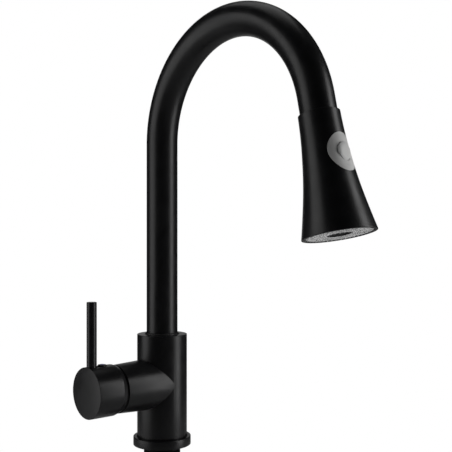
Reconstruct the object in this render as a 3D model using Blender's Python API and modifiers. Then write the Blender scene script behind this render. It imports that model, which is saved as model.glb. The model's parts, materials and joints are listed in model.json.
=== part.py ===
"""Pull down kitchen faucet: a swivelling arched spout, a side lever valve and a spray head that pulls out.

Row frame: origin on the worktop plane at the deck hole's centre, +Z up, spout towards -Y, handle towards -X.
Sizes are set in millimetres at the top and used in metres.
"""

import math

import bmesh
import bpy
from mathutils import Matrix, Vector

MM = 0.001
NAME = "pull_down_kitchen_faucet"

# ---------------------------------------------------------------- driving sizes
GAP = 0.3 * MM                    # clearance between fitted pieces
WALL = 2.6 * MM                   # spray head shell wall
EDGE = 0.4 * MM                   # small machined chamfer

# body
BODY_RADIUS = 22.5 * MM
BODY_FOOT = 7.0 * MM
BODY_TOP = 100.0 * MM
STUB_WALL = 3.2 * MM              # at the stub's end
STUB_FLARE = 1.3 * MM             # how much wider the stub is where it meets the body
STUB_HEIGHT = 56.0 * MM
STUB_REACH = 50.2 * MM
RING_OVERHANG = 3.5 * MM
FOOT_SUNK = 1.0 * MM              # how deep the body's foot stands in the base ring
GASKET_THICKNESS = 1.4 * MM
SOCKET_DEPTH = 24.5 * MM
PASSAGE_CLEARANCE = 1.2 * MM      # around the hose in the body
PORT_RADIUS = 4.2 * MM
CHANNEL_RADIUS = 3.3 * MM
CHANNEL_DROP = 6.0 * MM           # hot and cold channels, below the stub's axis
MIX_RISE = 9.0 * MM               # mixed water channel, above it

# under the worktop
SHANK_RADIUS = 16.5 * MM
SHANK_WALL = 1.2 * MM
SHANK_TOP = 21.2 * MM
WORKTOP = 30.0 * MM
RUBBER_WASHER = 3.0 * MM
STEEL_WASHER = 1.8 * MM
WASHER_LIP = 10.5 * MM            # washer beyond the shank
NUT_WALL = 5.5 * MM               # nut flats beyond the shank
NUT_HEIGHT = 10.0 * MM
SHANK_SPARE = 4.3 * MM            # shank below the nut

# spout
TUBE_RADIUS = 14.0 * MM
TUBE_WALL = 1.2 * MM
UPRIGHT_LENGTH = 171.57 * MM      # from the body's top to the arch
ARC_RADIUS = 94.69 * MM
ARC_SWEEP = 167.5                 # degrees
OUTLET_RUN = 13.06 * MM           # straight from the arch to the head's sleeve
OUTLET_INSERT = 12.0 * MM         # straight inside the sleeve
TUBE_SUNK = 7.7 * MM              # tube below the body's top
SLIDE_WALL = 1.4 * MM             # slide ring between tube and socket
SLIDE_LIP = 1.0 * MM
SLIDE_RISE = 1.5 * MM
ORING_SECTION = 1.15 * MM
ORING_EDGE = 2.9 * MM             # O-ring centres from the ferrule's ends
SCREW_RADIUS = 2.2 * MM
HOSE_RADIUS = 4.8 * MM
HOSE_TAIL = 12.0 * MM             # hose below the shank

# valve in the stub
CARTRIDGE_DEPTH = 30.2 * MM
CARTRIDGE_RADIUS = 17.5 * MM
SEAL_THICKNESS = 1.5 * MM
BASE_THICKNESS = 3.0 * MM
FIXED_DISC = 3.5 * MM
MOVING_DISC = 3.8 * MM
NUT_SUNK = 12.2 * MM              # the cartridge nut's seat below the stub's end
HOUSING_SUNK = 4.7 * MM
NECK_RADIUS = 13.0 * MM
NECK_WALL = 2.4 * MM
PIVOT_SUNK = 11.2 * MM            # tilt pivot below the stub's end
PIN_RADIUS = 1.5 * MM
STEM_WIDTH = 7.0 * MM
STEM_SHORT = 6.23 * MM            # stem's end behind the hub's face
DOME_INSET = 1.1 * MM              # dome's rim inside the stub's edge
DOME_WALL = 1.8 * MM
DOME_MOUTH = 10.5 * MM

# handle
HUB_STEP = 1.0 * MM               # hub beyond the stub
HUB_GAP = 2.1 * MM
HUB_FACE_OUT = 15.5 * MM          # hub face beyond the index plug
HUB_WALL = 2.8 * MM
HUB_BEVEL_LENGTH = 4.0 * MM
HUB_BEVEL_ANGLE = 15.6            # degrees
HUB_BEVEL_SHIFT = 0.42 * MM
LEVER_RADIUS = 4.3 * MM
LEVER_INSET = 5.11 * MM           # lever's axis behind the hub's face
LEVER_LENGTH = 54.95 * MM         # above the hub
PLUG_OUT = 2.45 * MM              # index plug and grub screw beyond the dome
PLUG_RADIUS = 3.9 * MM
PLUG_RISE = 0.9 * MM              # index plug proud of the hub
MARK_RADIUS = 1.9 * MM
MARK_RISE = 0.45 * MM             # coloured mark proud of the plug

# spray head, measured down its own axis from the sleeve's top
HEAD_LENGTH = 91.45 * MM
SLEEVE_GAP = 0.5 * MM             # between spout tube and sleeve
SLEEVE_WALL = 1.23 * MM
FLARE = [0.0, 0.73 * MM, 2.41 * MM, 4.88 * MM, 8.25 * MM, 12.15 * MM]
PAD_TOP = 18.69 * MM              # from the sleeve's top to the pad
PAD_HALF_LENGTH = 14.96 * MM
PAD_HALF_WIDTH = 12.55 * MM
PAD_DEPTH = 1.3 * MM
PAD_GAP = 0.15 * MM
BUTTON_GAP = 0.2 * MM
BUTTON_HALF_LENGTH = 7.2 * MM
BUTTON_HALF_WIDTH = 6.04 * MM
BUTTON_RISE = 0.75 * MM
FACE_RIM = 2.98 * MM
FACE_THICKNESS = 2.6 * MM
FACE_SUNK = 0.5 * MM
AERATOR_RADIUS = 9.0 * MM
AERATOR_DEPTH = 9.0 * MM
PLATE_RISE = 14.95 * MM           # chamber plate above the head's bottom
CHAMBER_RISE = 25.45 * MM         # waterway's flange above the head's bottom
NUT_THREAD_RADIUS = 8.0 * MM
CORE_WALL = 3.1 * MM

# ---------------------------------------------------------------- fitted sizes
STUB_RADIUS = CARTRIDGE_RADIUS + GAP + STUB_WALL
RING_RADIUS = BODY_RADIUS + RING_OVERHANG
RING_TOP = BODY_FOOT + FOOT_SUNK
SOCKET_RADIUS = TUBE_RADIUS + SLIDE_WALL + 0.4 * MM
SOCKET_FLOOR = BODY_TOP - SOCKET_DEPTH
PASSAGE_RADIUS = HOSE_RADIUS + PASSAGE_CLEARANCE
CHANNEL_HEIGHT = STUB_HEIGHT - CHANNEL_DROP
MIX_HEIGHT = STUB_HEIGHT + MIX_RISE
WASHER_RADIUS = SHANK_RADIUS + WASHER_LIP
NUT_FLATS = 2 * (SHANK_RADIUS + NUT_WALL)
SHANK_END = -(WORKTOP + RUBBER_WASHER + STEEL_WASHER + 2 * GAP + NUT_HEIGHT + SHANK_SPARE)
HOSE_END = SHANK_END - HOSE_TAIL
TUBE_FOOT = BODY_TOP - TUBE_SUNK
ARC_START = BODY_TOP + UPRIGHT_LENGTH
SLIDE_LIP_RADIUS = TUBE_RADIUS + SLIDE_LIP
SLIDE_LIP_TOP = BODY_TOP + SLIDE_RISE
FERRULE_FOOT = SOCKET_FLOOR + 0.5 * MM
ORING_LOW = FERRULE_FOOT + ORING_EDGE + GAP
ORING_HIGH = TUBE_FOOT - ORING_EDGE
SCREW_HEIGHT = (ORING_LOW + ORING_HIGH) / 2
CAVITY_FLOOR = STUB_REACH - CARTRIDGE_DEPTH
HOUSING_SHOULDER = STUB_REACH - NUT_SUNK
HOUSING_END = STUB_REACH - HOUSING_SUNK
TILT_PIVOT = STUB_REACH - PIVOT_SUNK
NUT_TOP = STUB_REACH - 3.2 * MM
HUB_RADIUS = STUB_RADIUS + HUB_STEP
HUB_BACK = STUB_REACH + HUB_GAP
DOME_RADIUS = math.hypot(STUB_RADIUS - DOME_INSET, STUB_REACH + GAP - TILT_PIVOT)
PLUG_PLACE = TILT_PIVOT + DOME_RADIUS + PLUG_OUT
HUB_FACE = PLUG_PLACE + HUB_FACE_OUT
HUB_CAVITY_RADIUS = HUB_RADIUS - HUB_WALL
STEM_END = HUB_FACE - STEM_SHORT
LEVER_PLACE = HUB_FACE - LEVER_INSET
LEVER_TOP = STUB_HEIGHT + HUB_RADIUS + LEVER_LENGTH
HEAD_RADII = [TUBE_RADIUS + SLEEVE_GAP + SLEEVE_WALL + out for out in FLARE]
PAD_PLACE = PAD_TOP + PAD_HALF_LENGTH
FACE_RADIUS = HEAD_RADII[-1] - FACE_RIM
NUT_NECK_RADIUS = NUT_THREAD_RADIUS + 1.0 * MM
CORE_RADIUS = NUT_THREAD_RADIUS + GAP + CORE_WALL

# ---------------------------------------------------------------- scene setup
for stale in list(bpy.data.objects):
    bpy.data.objects.remove(stale, do_unlink=True)

parts = bpy.data.collections.new(NAME)
cutters = bpy.data.collections.new(NAME + "_cutters")
bpy.context.scene.collection.children.link(parts)
bpy.context.scene.collection.children.link(cutters)


def finish(name, colour, roughness, metallic):
    """A Principled material for one piece."""
    made = bpy.data.materials.new(name)
    made.use_nodes = True
    shader = made.node_tree.nodes["Principled BSDF"]
    shader.inputs["Base Color"].default_value = (*colour, 1.0)
    shader.inputs["Roughness"].default_value = roughness
    shader.inputs["Metallic"].default_value = metallic
    made.diffuse_color = (*colour, 1.0)
    return made


MATT_BLACK = ((0.018, 0.018, 0.02), 0.42, 0.6)
BRASS = ((0.62, 0.46, 0.2), 0.35, 1.0)
STEEL = ((0.55, 0.55, 0.56), 0.35, 1.0)
RUBBER = ((0.02, 0.02, 0.02), 0.8, 0.0)
WHITE_PLASTIC = ((0.75, 0.75, 0.73), 0.5, 0.0)
BLACK_PLASTIC = ((0.03, 0.03, 0.032), 0.5, 0.0)
CERAMIC = ((0.85, 0.84, 0.8), 0.25, 0.0)
GREY_PAD = ((0.2, 0.2, 0.2), 0.55, 0.0)
PALE_FACE = ((0.55, 0.55, 0.55), 0.55, 0.0)
NYLON = ((0.1, 0.1, 0.105), 0.6, 0.0)
BLUE = ((0.02, 0.05, 0.4), 0.4, 0.0)


def empty(name, parent=None, location=(0, 0, 0), rotation=(0, 0, 0)):
    made = bpy.data.objects.new(name, None)
    made.location = location
    made.rotation_euler = rotation
    made.parent = parent
    parts.objects.link(made)
    return made


def place(name, mesh, parent=None, look=None, location=(0, 0, 0), rotation=(0, 0, 0)):
    """Puts a mesh in the parts, or with no look in the cutters."""
    made = bpy.data.objects.new(name, mesh)
    made.location = location
    made.rotation_euler = rotation
    made.parent = parent
    if look:
        parts.objects.link(made)
        mesh.materials.append(finish(name + "_finish", *look))
    else:
        cutters.objects.link(made)
        made.hide_render = True
        made.hide_viewport = True
        made.display_type = "WIRE"
    return made


def outline(name, points):
    """A profile of (radius, height) points, ordered down its outer side, closed if it stays off the axis."""
    closed = min(r for r, _ in points) > 1e-7
    ordered = list(points)
    if closed:
        area = 0.0
        for (r0, z0), (r1, z1) in zip(ordered, ordered[1:] + ordered[:1]):
            area += r0 * z1 - r1 * z0
        if area > 0:
            ordered.reverse()
    elif ordered[0][1] < ordered[-1][1]:
        ordered.reverse()
    shape = bmesh.new()
    corners = [shape.verts.new((r, 0.0, z)) for r, z in ordered]
    for a, b in zip(corners, corners[1:]):
        shape.edges.new((a, b))
    if closed:
        shape.edges.new((corners[-1], corners[0]))
    mesh = bpy.data.meshes.new(name)
    shape.to_mesh(mesh)
    shape.free()
    return mesh


def turned(name, points, steps, parent=None, look=None, location=(0, 0, 0), rotation=(0, 0, 0)):
    """A piece turned about its own Z from a profile."""
    made = place(name, outline(name, points), parent, look, location, rotation)
    turn = made.modifiers.new("turn", "SCREW")
    turn.steps = steps
    turn.render_steps = steps
    turn.use_merge_vertices = True
    turn.merge_threshold = 0.00001
    turn.use_smooth_shade = False
    return made


def rod(name, radius, low, high, steps, parent=None, look=None, location=(0, 0, 0), rotation=(0, 0, 0)):
    """A plain cylinder from low to high along its own Z."""
    points = [(0.0, high), (radius, high), (radius, low), (0.0, low)]
    return turned(name, points, steps, parent, look, location, rotation)


def block(name, size, centre, parent=None, look=None):
    """A box of that size about a centre."""
    shape = bmesh.new()
    bmesh.ops.create_cube(shape, size=1.0)
    bmesh.ops.scale(shape, vec=Vector(size), verts=shape.verts)
    bmesh.ops.translate(shape, vec=Vector(centre), verts=shape.verts)
    mesh = bpy.data.meshes.new(name)
    shape.to_mesh(mesh)
    shape.free()
    return place(name, mesh, parent, look)


def oval_rod(name, half_length, half_width, low, high, steps, parent=None, look=None, dome=0.0):
    """An oval bar along local Y (towards the head's front), long along local Z."""
    shape = bmesh.new()
    bmesh.ops.create_cone(shape, cap_ends=True, segments=steps, radius1=1.0, radius2=1.0, depth=1.0)
    lay_down = Matrix.Rotation(math.radians(-90), 3, "X")
    bmesh.ops.rotate(shape, cent=(0, 0, 0), matrix=lay_down, verts=shape.verts)
    bmesh.ops.scale(shape, vec=(half_width, high - low, half_length), verts=shape.verts)
    bmesh.ops.translate(shape, vec=(0, (high + low) / 2, 0), verts=shape.verts)
    if dome:
        far = [e for e in shape.edges if all(v.co.y > high - 1e-6 for v in e.verts)]
        bmesh.ops.bevel(shape, geom=far, offset=dome, segments=2, profile=0.5, affect="EDGES", material=-1)
    mesh = bpy.data.meshes.new(name)
    shape.to_mesh(mesh)
    shape.free()
    return place(name, mesh, parent, look)


def cut(piece, *tools, mode="DIFFERENCE"):
    for tool in tools:
        step = piece.modifiers.new(mode.lower() + "_" + tool.name, "BOOLEAN")
        step.operation = mode
        step.solver = "EXACT"
        step.object = tool
    return piece


def spout_point(run):
    """Point and direction on the spout's centreline, run metres above the start of its upright."""
    upright = ARC_START - TUBE_FOOT
    arc = ARC_RADIUS * math.radians(ARC_SWEEP)
    if run <= upright:
        return Vector((0, 0, TUBE_FOOT + run)), Vector((0, 0, 1))
    turn = min((run - upright) / ARC_RADIUS, math.radians(ARC_SWEEP))
    place_at = Vector((0, -ARC_RADIUS * (1 - math.cos(turn)), ARC_START + ARC_RADIUS * math.sin(turn)))
    ahead = Vector((0, -math.sin(turn), math.cos(turn)))
    return place_at + ahead * max(0.0, run - upright - arc), ahead


def spout_path(low, high, bends):
    """Centreline points from height low on the upright to high metres past the arch's end."""
    upright = ARC_START - TUBE_FOOT
    arc = ARC_RADIUS * math.radians(ARC_SWEEP)
    points = [Vector((0, 0, low))]
    for i in range(bends + 1):
        points.append(spout_point(upright + arc * i / bends)[0])
    points.append(spout_point(upright + arc + high)[0])
    return points


def tube(name, points, radius, sides, parent=None, look=None):
    """A solid round bar along a path, made from a curve and turned into a mesh."""
    line = bpy.data.curves.new(name + "_line", "CURVE")
    line.dimensions = "3D"
    line.bevel_depth = radius
    line.bevel_resolution = (sides - 4) // 2
    line.use_fill_caps = True
    spline = line.splines.new("POLY")
    spline.points.add(len(points) - 1)
    for spot, point in zip(spline.points, points):
        spot.co = (*point, 1.0)
    holder = bpy.data.objects.new(name + "_line", line)
    cutters.objects.link(holder)
    bpy.context.view_layer.update()
    mesh = bpy.data.meshes.new_from_object(holder.evaluated_get(bpy.context.evaluated_depsgraph_get()))
    bpy.data.objects.remove(holder, do_unlink=True)
    shape = bmesh.new()
    shape.from_mesh(mesh)
    bmesh.ops.remove_doubles(shape, verts=shape.verts, dist=0.000001)
    bmesh.ops.recalc_face_normals(shape, faces=shape.faces)
    shape.to_mesh(mesh)
    shape.free()
    mesh.materials.clear()
    mesh.name = name
    return place(name, mesh, parent, look)


# ---------------------------------------------------------------- axes
side = (0, math.radians(-90), 0)          # local Z points to -X
valve_axis = empty("lever_turn_axis", None, (0, 0, STUB_HEIGHT), side)
tilt_axis = empty("lever_tilt_axis", valve_axis, (0, 0, TILT_PIVOT))
spout_axis = empty("spout_swivel_axis")
sleeve_top, outlet_way = spout_point(
    ARC_START - TUBE_FOOT + ARC_RADIUS * math.radians(ARC_SWEEP) + OUTLET_RUN
)
head_axis = empty("head_pull_axis", None, sleeve_top, (math.radians(ARC_SWEEP), 0, 0))

# ---------------------------------------------------------------- body and what holds it
body = turned("mixer_body", [
    (0.0, BODY_TOP), (BODY_RADIUS - EDGE, BODY_TOP), (BODY_RADIUS, BODY_TOP - EDGE),
    (BODY_RADIUS, BODY_FOOT + EDGE), (BODY_RADIUS - EDGE, BODY_FOOT), (0.0, BODY_FOOT),
], 56, None, MATT_BLACK)
stub_root = STUB_RADIUS + STUB_FLARE
stub = turned("stub_shape", [
    (0.0, 0.0), (stub_root, 0.0), (stub_root, BODY_RADIUS), (STUB_RADIUS, STUB_REACH - EDGE),
    (STUB_RADIUS - EDGE, STUB_REACH), (0.0, STUB_REACH),
], 48, valve_axis)
cut(body, stub, mode="UNION")
core = turned("body_bore", [
    (0.0, BODY_TOP + 1 * MM), (SOCKET_RADIUS, BODY_TOP + 1 * MM), (SOCKET_RADIUS, SOCKET_FLOOR),
    (PASSAGE_RADIUS, SOCKET_FLOOR), (PASSAGE_RADIUS, SHANK_TOP + GAP),
    (SHANK_RADIUS + GAP, SHANK_TOP + GAP), (SHANK_RADIUS + GAP, BODY_FOOT - 1 * MM),
    (0.0, BODY_FOOT - 1 * MM),
], 40)
cavity = rod("valve_cavity", CARTRIDGE_RADIUS + GAP, CAVITY_FLOOR, STUB_REACH + 1 * MM, 40, valve_axis)
cut(body, core, cavity)

port_circle = PASSAGE_RADIUS + PORT_RADIUS + 0.7 * MM
port_floor = SHANK_TOP + GAP
water_ways = []
for label, angle, height in (
    ("hot", 120, CHANNEL_HEIGHT), ("cold", 240, CHANNEL_HEIGHT), ("mixed", 180, MIX_HEIGHT),
):
    x = port_circle * math.cos(math.radians(angle))
    y = -port_circle * math.sin(math.radians(angle))
    upright = turned(label + "_port", [
        (0.0, height + CHANNEL_RADIUS), (CHANNEL_RADIUS, height + CHANNEL_RADIUS),
        (CHANNEL_RADIUS, port_floor + 8 * MM), (PORT_RADIUS, port_floor + 7 * MM),
        (PORT_RADIUS, port_floor - 1 * MM), (0.0, port_floor - 1 * MM),
    ], 12, None, None, (x, y, 0))
    across = rod(
        label + "_channel", CHANNEL_RADIUS - 0.3 * MM, -x, CAVITY_FLOOR + 1 * MM, 12,
        valve_axis, None, (height - STUB_HEIGHT, y, 0),
    )
    water_ways.append((height - STUB_HEIGHT, y))
    cut(body, upright, across)
screw_hole = rod(
    "screw_hole", SCREW_RADIUS + GAP, SOCKET_RADIUS - 2 * MM, BODY_RADIUS + 2 * MM, 16,
    None, None, (0, 0, SCREW_HEIGHT), (math.radians(-90), 0, 0),
)
cut(body, screw_hole)

foot_recess = FOOT_SUNK + GAP
ring_bore = SHANK_RADIUS + GAP + 0.1 * MM
gasket_seat = RING_RADIUS - 1.3 * MM
foot_bore = BODY_RADIUS + 0.35 * MM
turned("base_ring", [
    (RING_RADIUS - EDGE, RING_TOP), (RING_RADIUS, RING_TOP - EDGE), (RING_RADIUS, GAP + EDGE),
    (RING_RADIUS - EDGE, GAP), (gasket_seat, GAP), (gasket_seat, GASKET_THICKNESS + GAP),
    (ring_bore, GASKET_THICKNESS + GAP), (ring_bore, RING_TOP - foot_recess),
    (foot_bore, RING_TOP - foot_recess), (foot_bore, RING_TOP),
], 56, None, MATT_BLACK)
turned("base_gasket", [
    (gasket_seat - GAP, GASKET_THICKNESS), (gasket_seat - GAP, 0.0),
    (ring_bore + GAP, 0.0), (ring_bore + GAP, GASKET_THICKNESS),
], 36, None, RUBBER)
turned("mounting_shank", [
    (SHANK_RADIUS, SHANK_TOP), (SHANK_RADIUS, SHANK_END + EDGE), (SHANK_RADIUS - EDGE, SHANK_END),
    (SHANK_RADIUS - SHANK_WALL, SHANK_END), (SHANK_RADIUS - SHANK_WALL, SHANK_TOP),
], 32, None, BRASS)
washer_top = -WORKTOP
turned("deck_washer_rubber", [
    (WASHER_RADIUS, washer_top), (WASHER_RADIUS, washer_top - RUBBER_WASHER),
    (ring_bore, washer_top - RUBBER_WASHER), (ring_bore, washer_top),
], 32, None, RUBBER)
steel_top = washer_top - RUBBER_WASHER - GAP
turned("deck_washer_steel", [
    (WASHER_RADIUS, steel_top), (WASHER_RADIUS, steel_top - STEEL_WASHER),
    (ring_bore, steel_top - STEEL_WASHER), (ring_bore, steel_top),
], 32, None, STEEL)
nut_top = steel_top - STEEL_WASHER - GAP
nut = turned("shank_nut", [
    (0.0, nut_top), (NUT_FLATS / 2 / math.cos(math.radians(30)), nut_top),
    (NUT_FLATS / 2 / math.cos(math.radians(30)), nut_top - NUT_HEIGHT), (0.0, nut_top - NUT_HEIGHT),
], 6, None, BRASS)
nut_bore = rod("nut_bore", SHANK_RADIUS + GAP, nut_top - NUT_HEIGHT - 1 * MM, nut_top + 1 * MM, 40)
cut(nut, nut_bore)

# ---------------------------------------------------------------- spout
bore_radius = TUBE_RADIUS - TUBE_WALL
outlet_end = OUTLET_RUN + OUTLET_INSERT
outer_path = spout_path(TUBE_FOOT, outlet_end, 22)
inner_path = spout_path(TUBE_FOOT - 1 * MM, outlet_end + 1 * MM, 22)
outer = tube("spout_tube", outer_path, TUBE_RADIUS, 24, spout_axis, MATT_BLACK)
inner = tube("spout_bore", inner_path, bore_radius, 20, spout_axis)
cut(outer, inner)

ferrule_radius = SOCKET_RADIUS - 0.4 * MM
groove_floor = ferrule_radius - 2 * ORING_SECTION - 0.25 * MM
groove_half = ORING_SECTION + 0.35 * MM
ferrule_bore = bore_radius - 2.0 * MM
screw_groove = ferrule_radius - 1.5 * MM
ferrule_top = TUBE_FOOT - GAP
spigot_radius = bore_radius - 0.35 * MM
ferrule_outline = [(spigot_radius, ferrule_top + 7 * MM), (spigot_radius, ferrule_top)]
for centre, floor, half in (
    (ORING_HIGH, groove_floor, groove_half),
    (SCREW_HEIGHT, screw_groove, 1.7 * MM),
    (ORING_LOW, groove_floor, groove_half),
):
    if centre == ORING_HIGH:
        ferrule_outline.append((ferrule_radius, ferrule_top))
    ferrule_outline += [
        (ferrule_radius, centre + half), (floor, centre + half),
        (floor, centre - half), (ferrule_radius, centre - half),
    ]
ferrule_outline += [
    (ferrule_radius, FERRULE_FOOT), (ferrule_bore, FERRULE_FOOT), (ferrule_bore, ferrule_top + 7 * MM),
]
turned("spout_ferrule", ferrule_outline, 24, spout_axis, BRASS)
for label, height in (("low", ORING_LOW), ("high", ORING_HIGH)):
    ring_mid = groove_floor + 0.3 * MM + ORING_SECTION
    section = [
        (ring_mid + ORING_SECTION * math.cos(a), height + ORING_SECTION * math.sin(a))
        for a in (math.radians(60 * i) for i in range(6))
    ]
    turned("spout_oring_" + label, section, 24, spout_axis, RUBBER)
turned("spout_slide_ring", [
    (TUBE_RADIUS + GAP, SLIDE_LIP_TOP), (SLIDE_LIP_RADIUS, SLIDE_LIP_TOP - 0.9 * MM),
    (SLIDE_LIP_RADIUS, BODY_TOP - 0.4 * MM), (ferrule_radius, BODY_TOP - 0.8 * MM),
    (ferrule_radius, ferrule_top + 2 * GAP), (TUBE_RADIUS + GAP, ferrule_top + 2 * GAP),
], 40, spout_axis, BLACK_PLASTIC)
screw_tip = screw_groove + 0.4 * MM
turned("spout_set_screw", [
    (0.0, BODY_RADIUS - 2.2 * MM), (1.1 * MM, BODY_RADIUS - 2.2 * MM), (1.1 * MM, BODY_RADIUS - 0.6 * MM),
    (SCREW_RADIUS, BODY_RADIUS - 0.6 * MM), (SCREW_RADIUS, SOCKET_RADIUS + 0.6 * MM),
    (1.2 * MM, SOCKET_RADIUS + 0.3 * MM), (1.2 * MM, screw_tip), (0.0, screw_tip),
], 16, None, STEEL, (0, 0, SCREW_HEIGHT), (math.radians(-90), 0, 0))

# docking bush in the outlet, with a cone that the hose nut seats in
bush_lip = OUTLET_INSERT + GAP
cone_start = -2.0 * MM
cone_radius = HOSE_RADIUS + 0.8 * MM
cone_end = bush_lip + 1.5 * MM
cone_mouth = NUT_NECK_RADIUS + 0.5 * MM
turned("docking_bush", [
    (bore_radius - GAP, -8 * MM), (bore_radius - GAP, bush_lip), (TUBE_RADIUS - 0.1 * MM, bush_lip),
    (TUBE_RADIUS - 0.1 * MM, cone_end), (cone_mouth, cone_end),
    (cone_radius, cone_start), (cone_radius, -8 * MM),
], 32, head_axis, WHITE_PLASTIC)

# ---------------------------------------------------------------- hose
tube("hose_in_spout", spout_path(FERRULE_FOOT + 0.2 * MM, 0.0, 20)[:-1], HOSE_RADIUS, 10, spout_axis, NYLON)
rod("hose_outlet_stretch", HOSE_RADIUS, -OUTLET_RUN + 2 * GAP, -1.0 * MM - GAP, 16, head_axis, NYLON)
rod("hose_in_body", HOSE_RADIUS, HOSE_END, FERRULE_FOOT - 0.2 * MM, 16, None, NYLON)
connector_top = HOSE_END - GAP
turned("hose_end_connector", [
    (0.0, connector_top), (5.4 * MM, connector_top), (5.4 * MM, connector_top - 9 * MM),
    (4.2 * MM, connector_top - 9.5 * MM), (4.2 * MM, connector_top - 11.5 * MM),
    (5.0 * MM, connector_top - 12 * MM), (5.0 * MM, connector_top - 16 * MM),
    (4.0 * MM, connector_top - 18 * MM), (2.4 * MM, connector_top - 18 * MM),
    (2.4 * MM, connector_top - 8 * MM), (0.0, connector_top - 8 * MM),
], 20, None, BRASS)

# ---------------------------------------------------------------- valve in the stub
seal_low = CAVITY_FLOOR + GAP
seal_high = seal_low + SEAL_THICKNESS
seal = rod("cartridge_seal", CARTRIDGE_RADIUS - 1 * MM, seal_low, seal_high, 28, valve_axis, RUBBER)
base_low = seal_high + GAP
base_high = base_low + BASE_THICKNESS
base = rod("cartridge_base", CARTRIDGE_RADIUS, base_low, base_high, 28, valve_axis, WHITE_PLASTIC)
disc_low = base_high + GAP
disc_high = disc_low + FIXED_DISC
fixed = rod("fixed_disc", CARTRIDGE_RADIUS - 2.9 * MM, disc_low, disc_high, 28, valve_axis, CERAMIC)
for index, (z, y) in enumerate(water_ways):
    hole = rod(
        "way_hole_%d" % index, CHANNEL_RADIUS - 0.3 * MM, seal_low - 1 * MM, disc_high + 1 * MM, 12,
        valve_axis, None, (z, y, 0),
    )
    cut(seal, hole)
    cut(base, hole)
    cut(fixed, hole)

moving_low = disc_high + GAP
moving_high = moving_low + MOVING_DISC
disc_carriage = empty("disc_axis", valve_axis, (0, 0, moving_low))
moving = rod("moving_disc", CARTRIDGE_RADIUS - 6.7 * MM, 0.0, MOVING_DISC, 32, disc_carriage, CERAMIC)
pocket = rod("disc_pocket", CARTRIDGE_RADIUS - 9.3 * MM, -1 * MM, 1.3 * MM, 24, disc_carriage)
tip_width = 5.0 * MM
tip_low = moving_high - 1.7 * MM
tilt_room = 0.5 * MM                      # the tip swings this far down as the lever tilts
drive = block(
    "drive_socket", (tip_width + 1.4 * MM, tip_width + 2 * GAP, 4 * MM),
    (0, 0, tip_low - tilt_room - moving_low + 2 * MM), disc_carriage,
)
cut(moving, pocket, drive)

housing_low = disc_low
shoulder_inside = HOUSING_SHOULDER - 2.5 * MM
carrier_neck = NECK_RADIUS - NECK_WALL - GAP
housing_bore = CARTRIDGE_RADIUS - 2.6 * MM
turned("cartridge_housing", [
    (CARTRIDGE_RADIUS, housing_low), (CARTRIDGE_RADIUS, HOUSING_SHOULDER), (NECK_RADIUS, HOUSING_SHOULDER),
    (NECK_RADIUS, HOUSING_END), (carrier_neck + GAP, HOUSING_END), (carrier_neck + GAP, shoulder_inside),
    (housing_bore, shoulder_inside), (housing_bore, housing_low),
], 32, valve_axis, WHITE_PLASTIC)
flange_low = moving_high + GAP
carrier = turned("stem_carrier", [
    (0.0, flange_low), (housing_bore - 0.4 * MM, flange_low),
    (housing_bore - 0.4 * MM, shoulder_inside - GAP),
    (carrier_neck, shoulder_inside - GAP), (carrier_neck, HOUSING_END - 0.5 * MM),
    (0.0, HOUSING_END - 0.5 * MM),
], 28, valve_axis, WHITE_PLASTIC)
slot = block(
    "stem_slot", (STEM_WIDTH + 5.4 * MM, STEM_WIDTH + 2 * GAP, 16 * MM),
    (0, 0, flange_low + 6 * MM), valve_axis,
)
pin_turn = (math.radians(90), 0, 0)
pivot_at = (0, 0, TILT_PIVOT)
pin_hole = rod("pin_hole", PIN_RADIUS + GAP, -12 * MM, 12 * MM, 16, valve_axis, None, pivot_at, pin_turn)
cut(carrier, slot, pin_hole)
rod("stem_pin", PIN_RADIUS, -carrier_neck + 0.5 * MM, carrier_neck - 0.5 * MM, 16, valve_axis, STEEL,
    (0, 0, TILT_PIVOT), pin_turn)

# the stem turns about the pin: its own origin is the pivot
stem = block(
    "cartridge_stem", (STEM_WIDTH, STEM_WIDTH, STEM_END - TILT_PIVOT + 4.5 * MM),
    (0, 0, (STEM_END - TILT_PIVOT - 4.5 * MM) / 2), tilt_axis, BRASS,
)
tip_length = TILT_PIVOT - tip_low
tip_middle = (0, 0, -(tip_length + 2 * MM) / 2)
tip = block("stem_tip", (tip_width, tip_width, tip_length - 2 * MM), tip_middle, tilt_axis)
cut(stem, tip, mode="UNION")
stem_hole = rod(
    "stem_pin_hole", PIN_RADIUS + GAP, -12 * MM, 12 * MM, 16, tilt_axis, None, (0, 0, 0), pin_turn
)
cut(stem, stem_hole)

collar_radius = NECK_RADIUS + 1.7 * MM
turned("cartridge_nut", [
    (CARTRIDGE_RADIUS, HOUSING_SHOULDER + GAP), (CARTRIDGE_RADIUS, NUT_TOP), (collar_radius, NUT_TOP),
    (collar_radius, NUT_TOP + 3 * MM), (NECK_RADIUS + GAP, NUT_TOP + 3 * MM),
    (NECK_RADIUS + GAP, HOUSING_SHOULDER + GAP),
], 28, valve_axis, BRASS)


def on_dome(radius, ring):
    """Distance from the axis origin to where a sphere about the pivot has that ring radius."""
    return TILT_PIVOT + math.sqrt(radius * radius - ring * ring)


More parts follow.
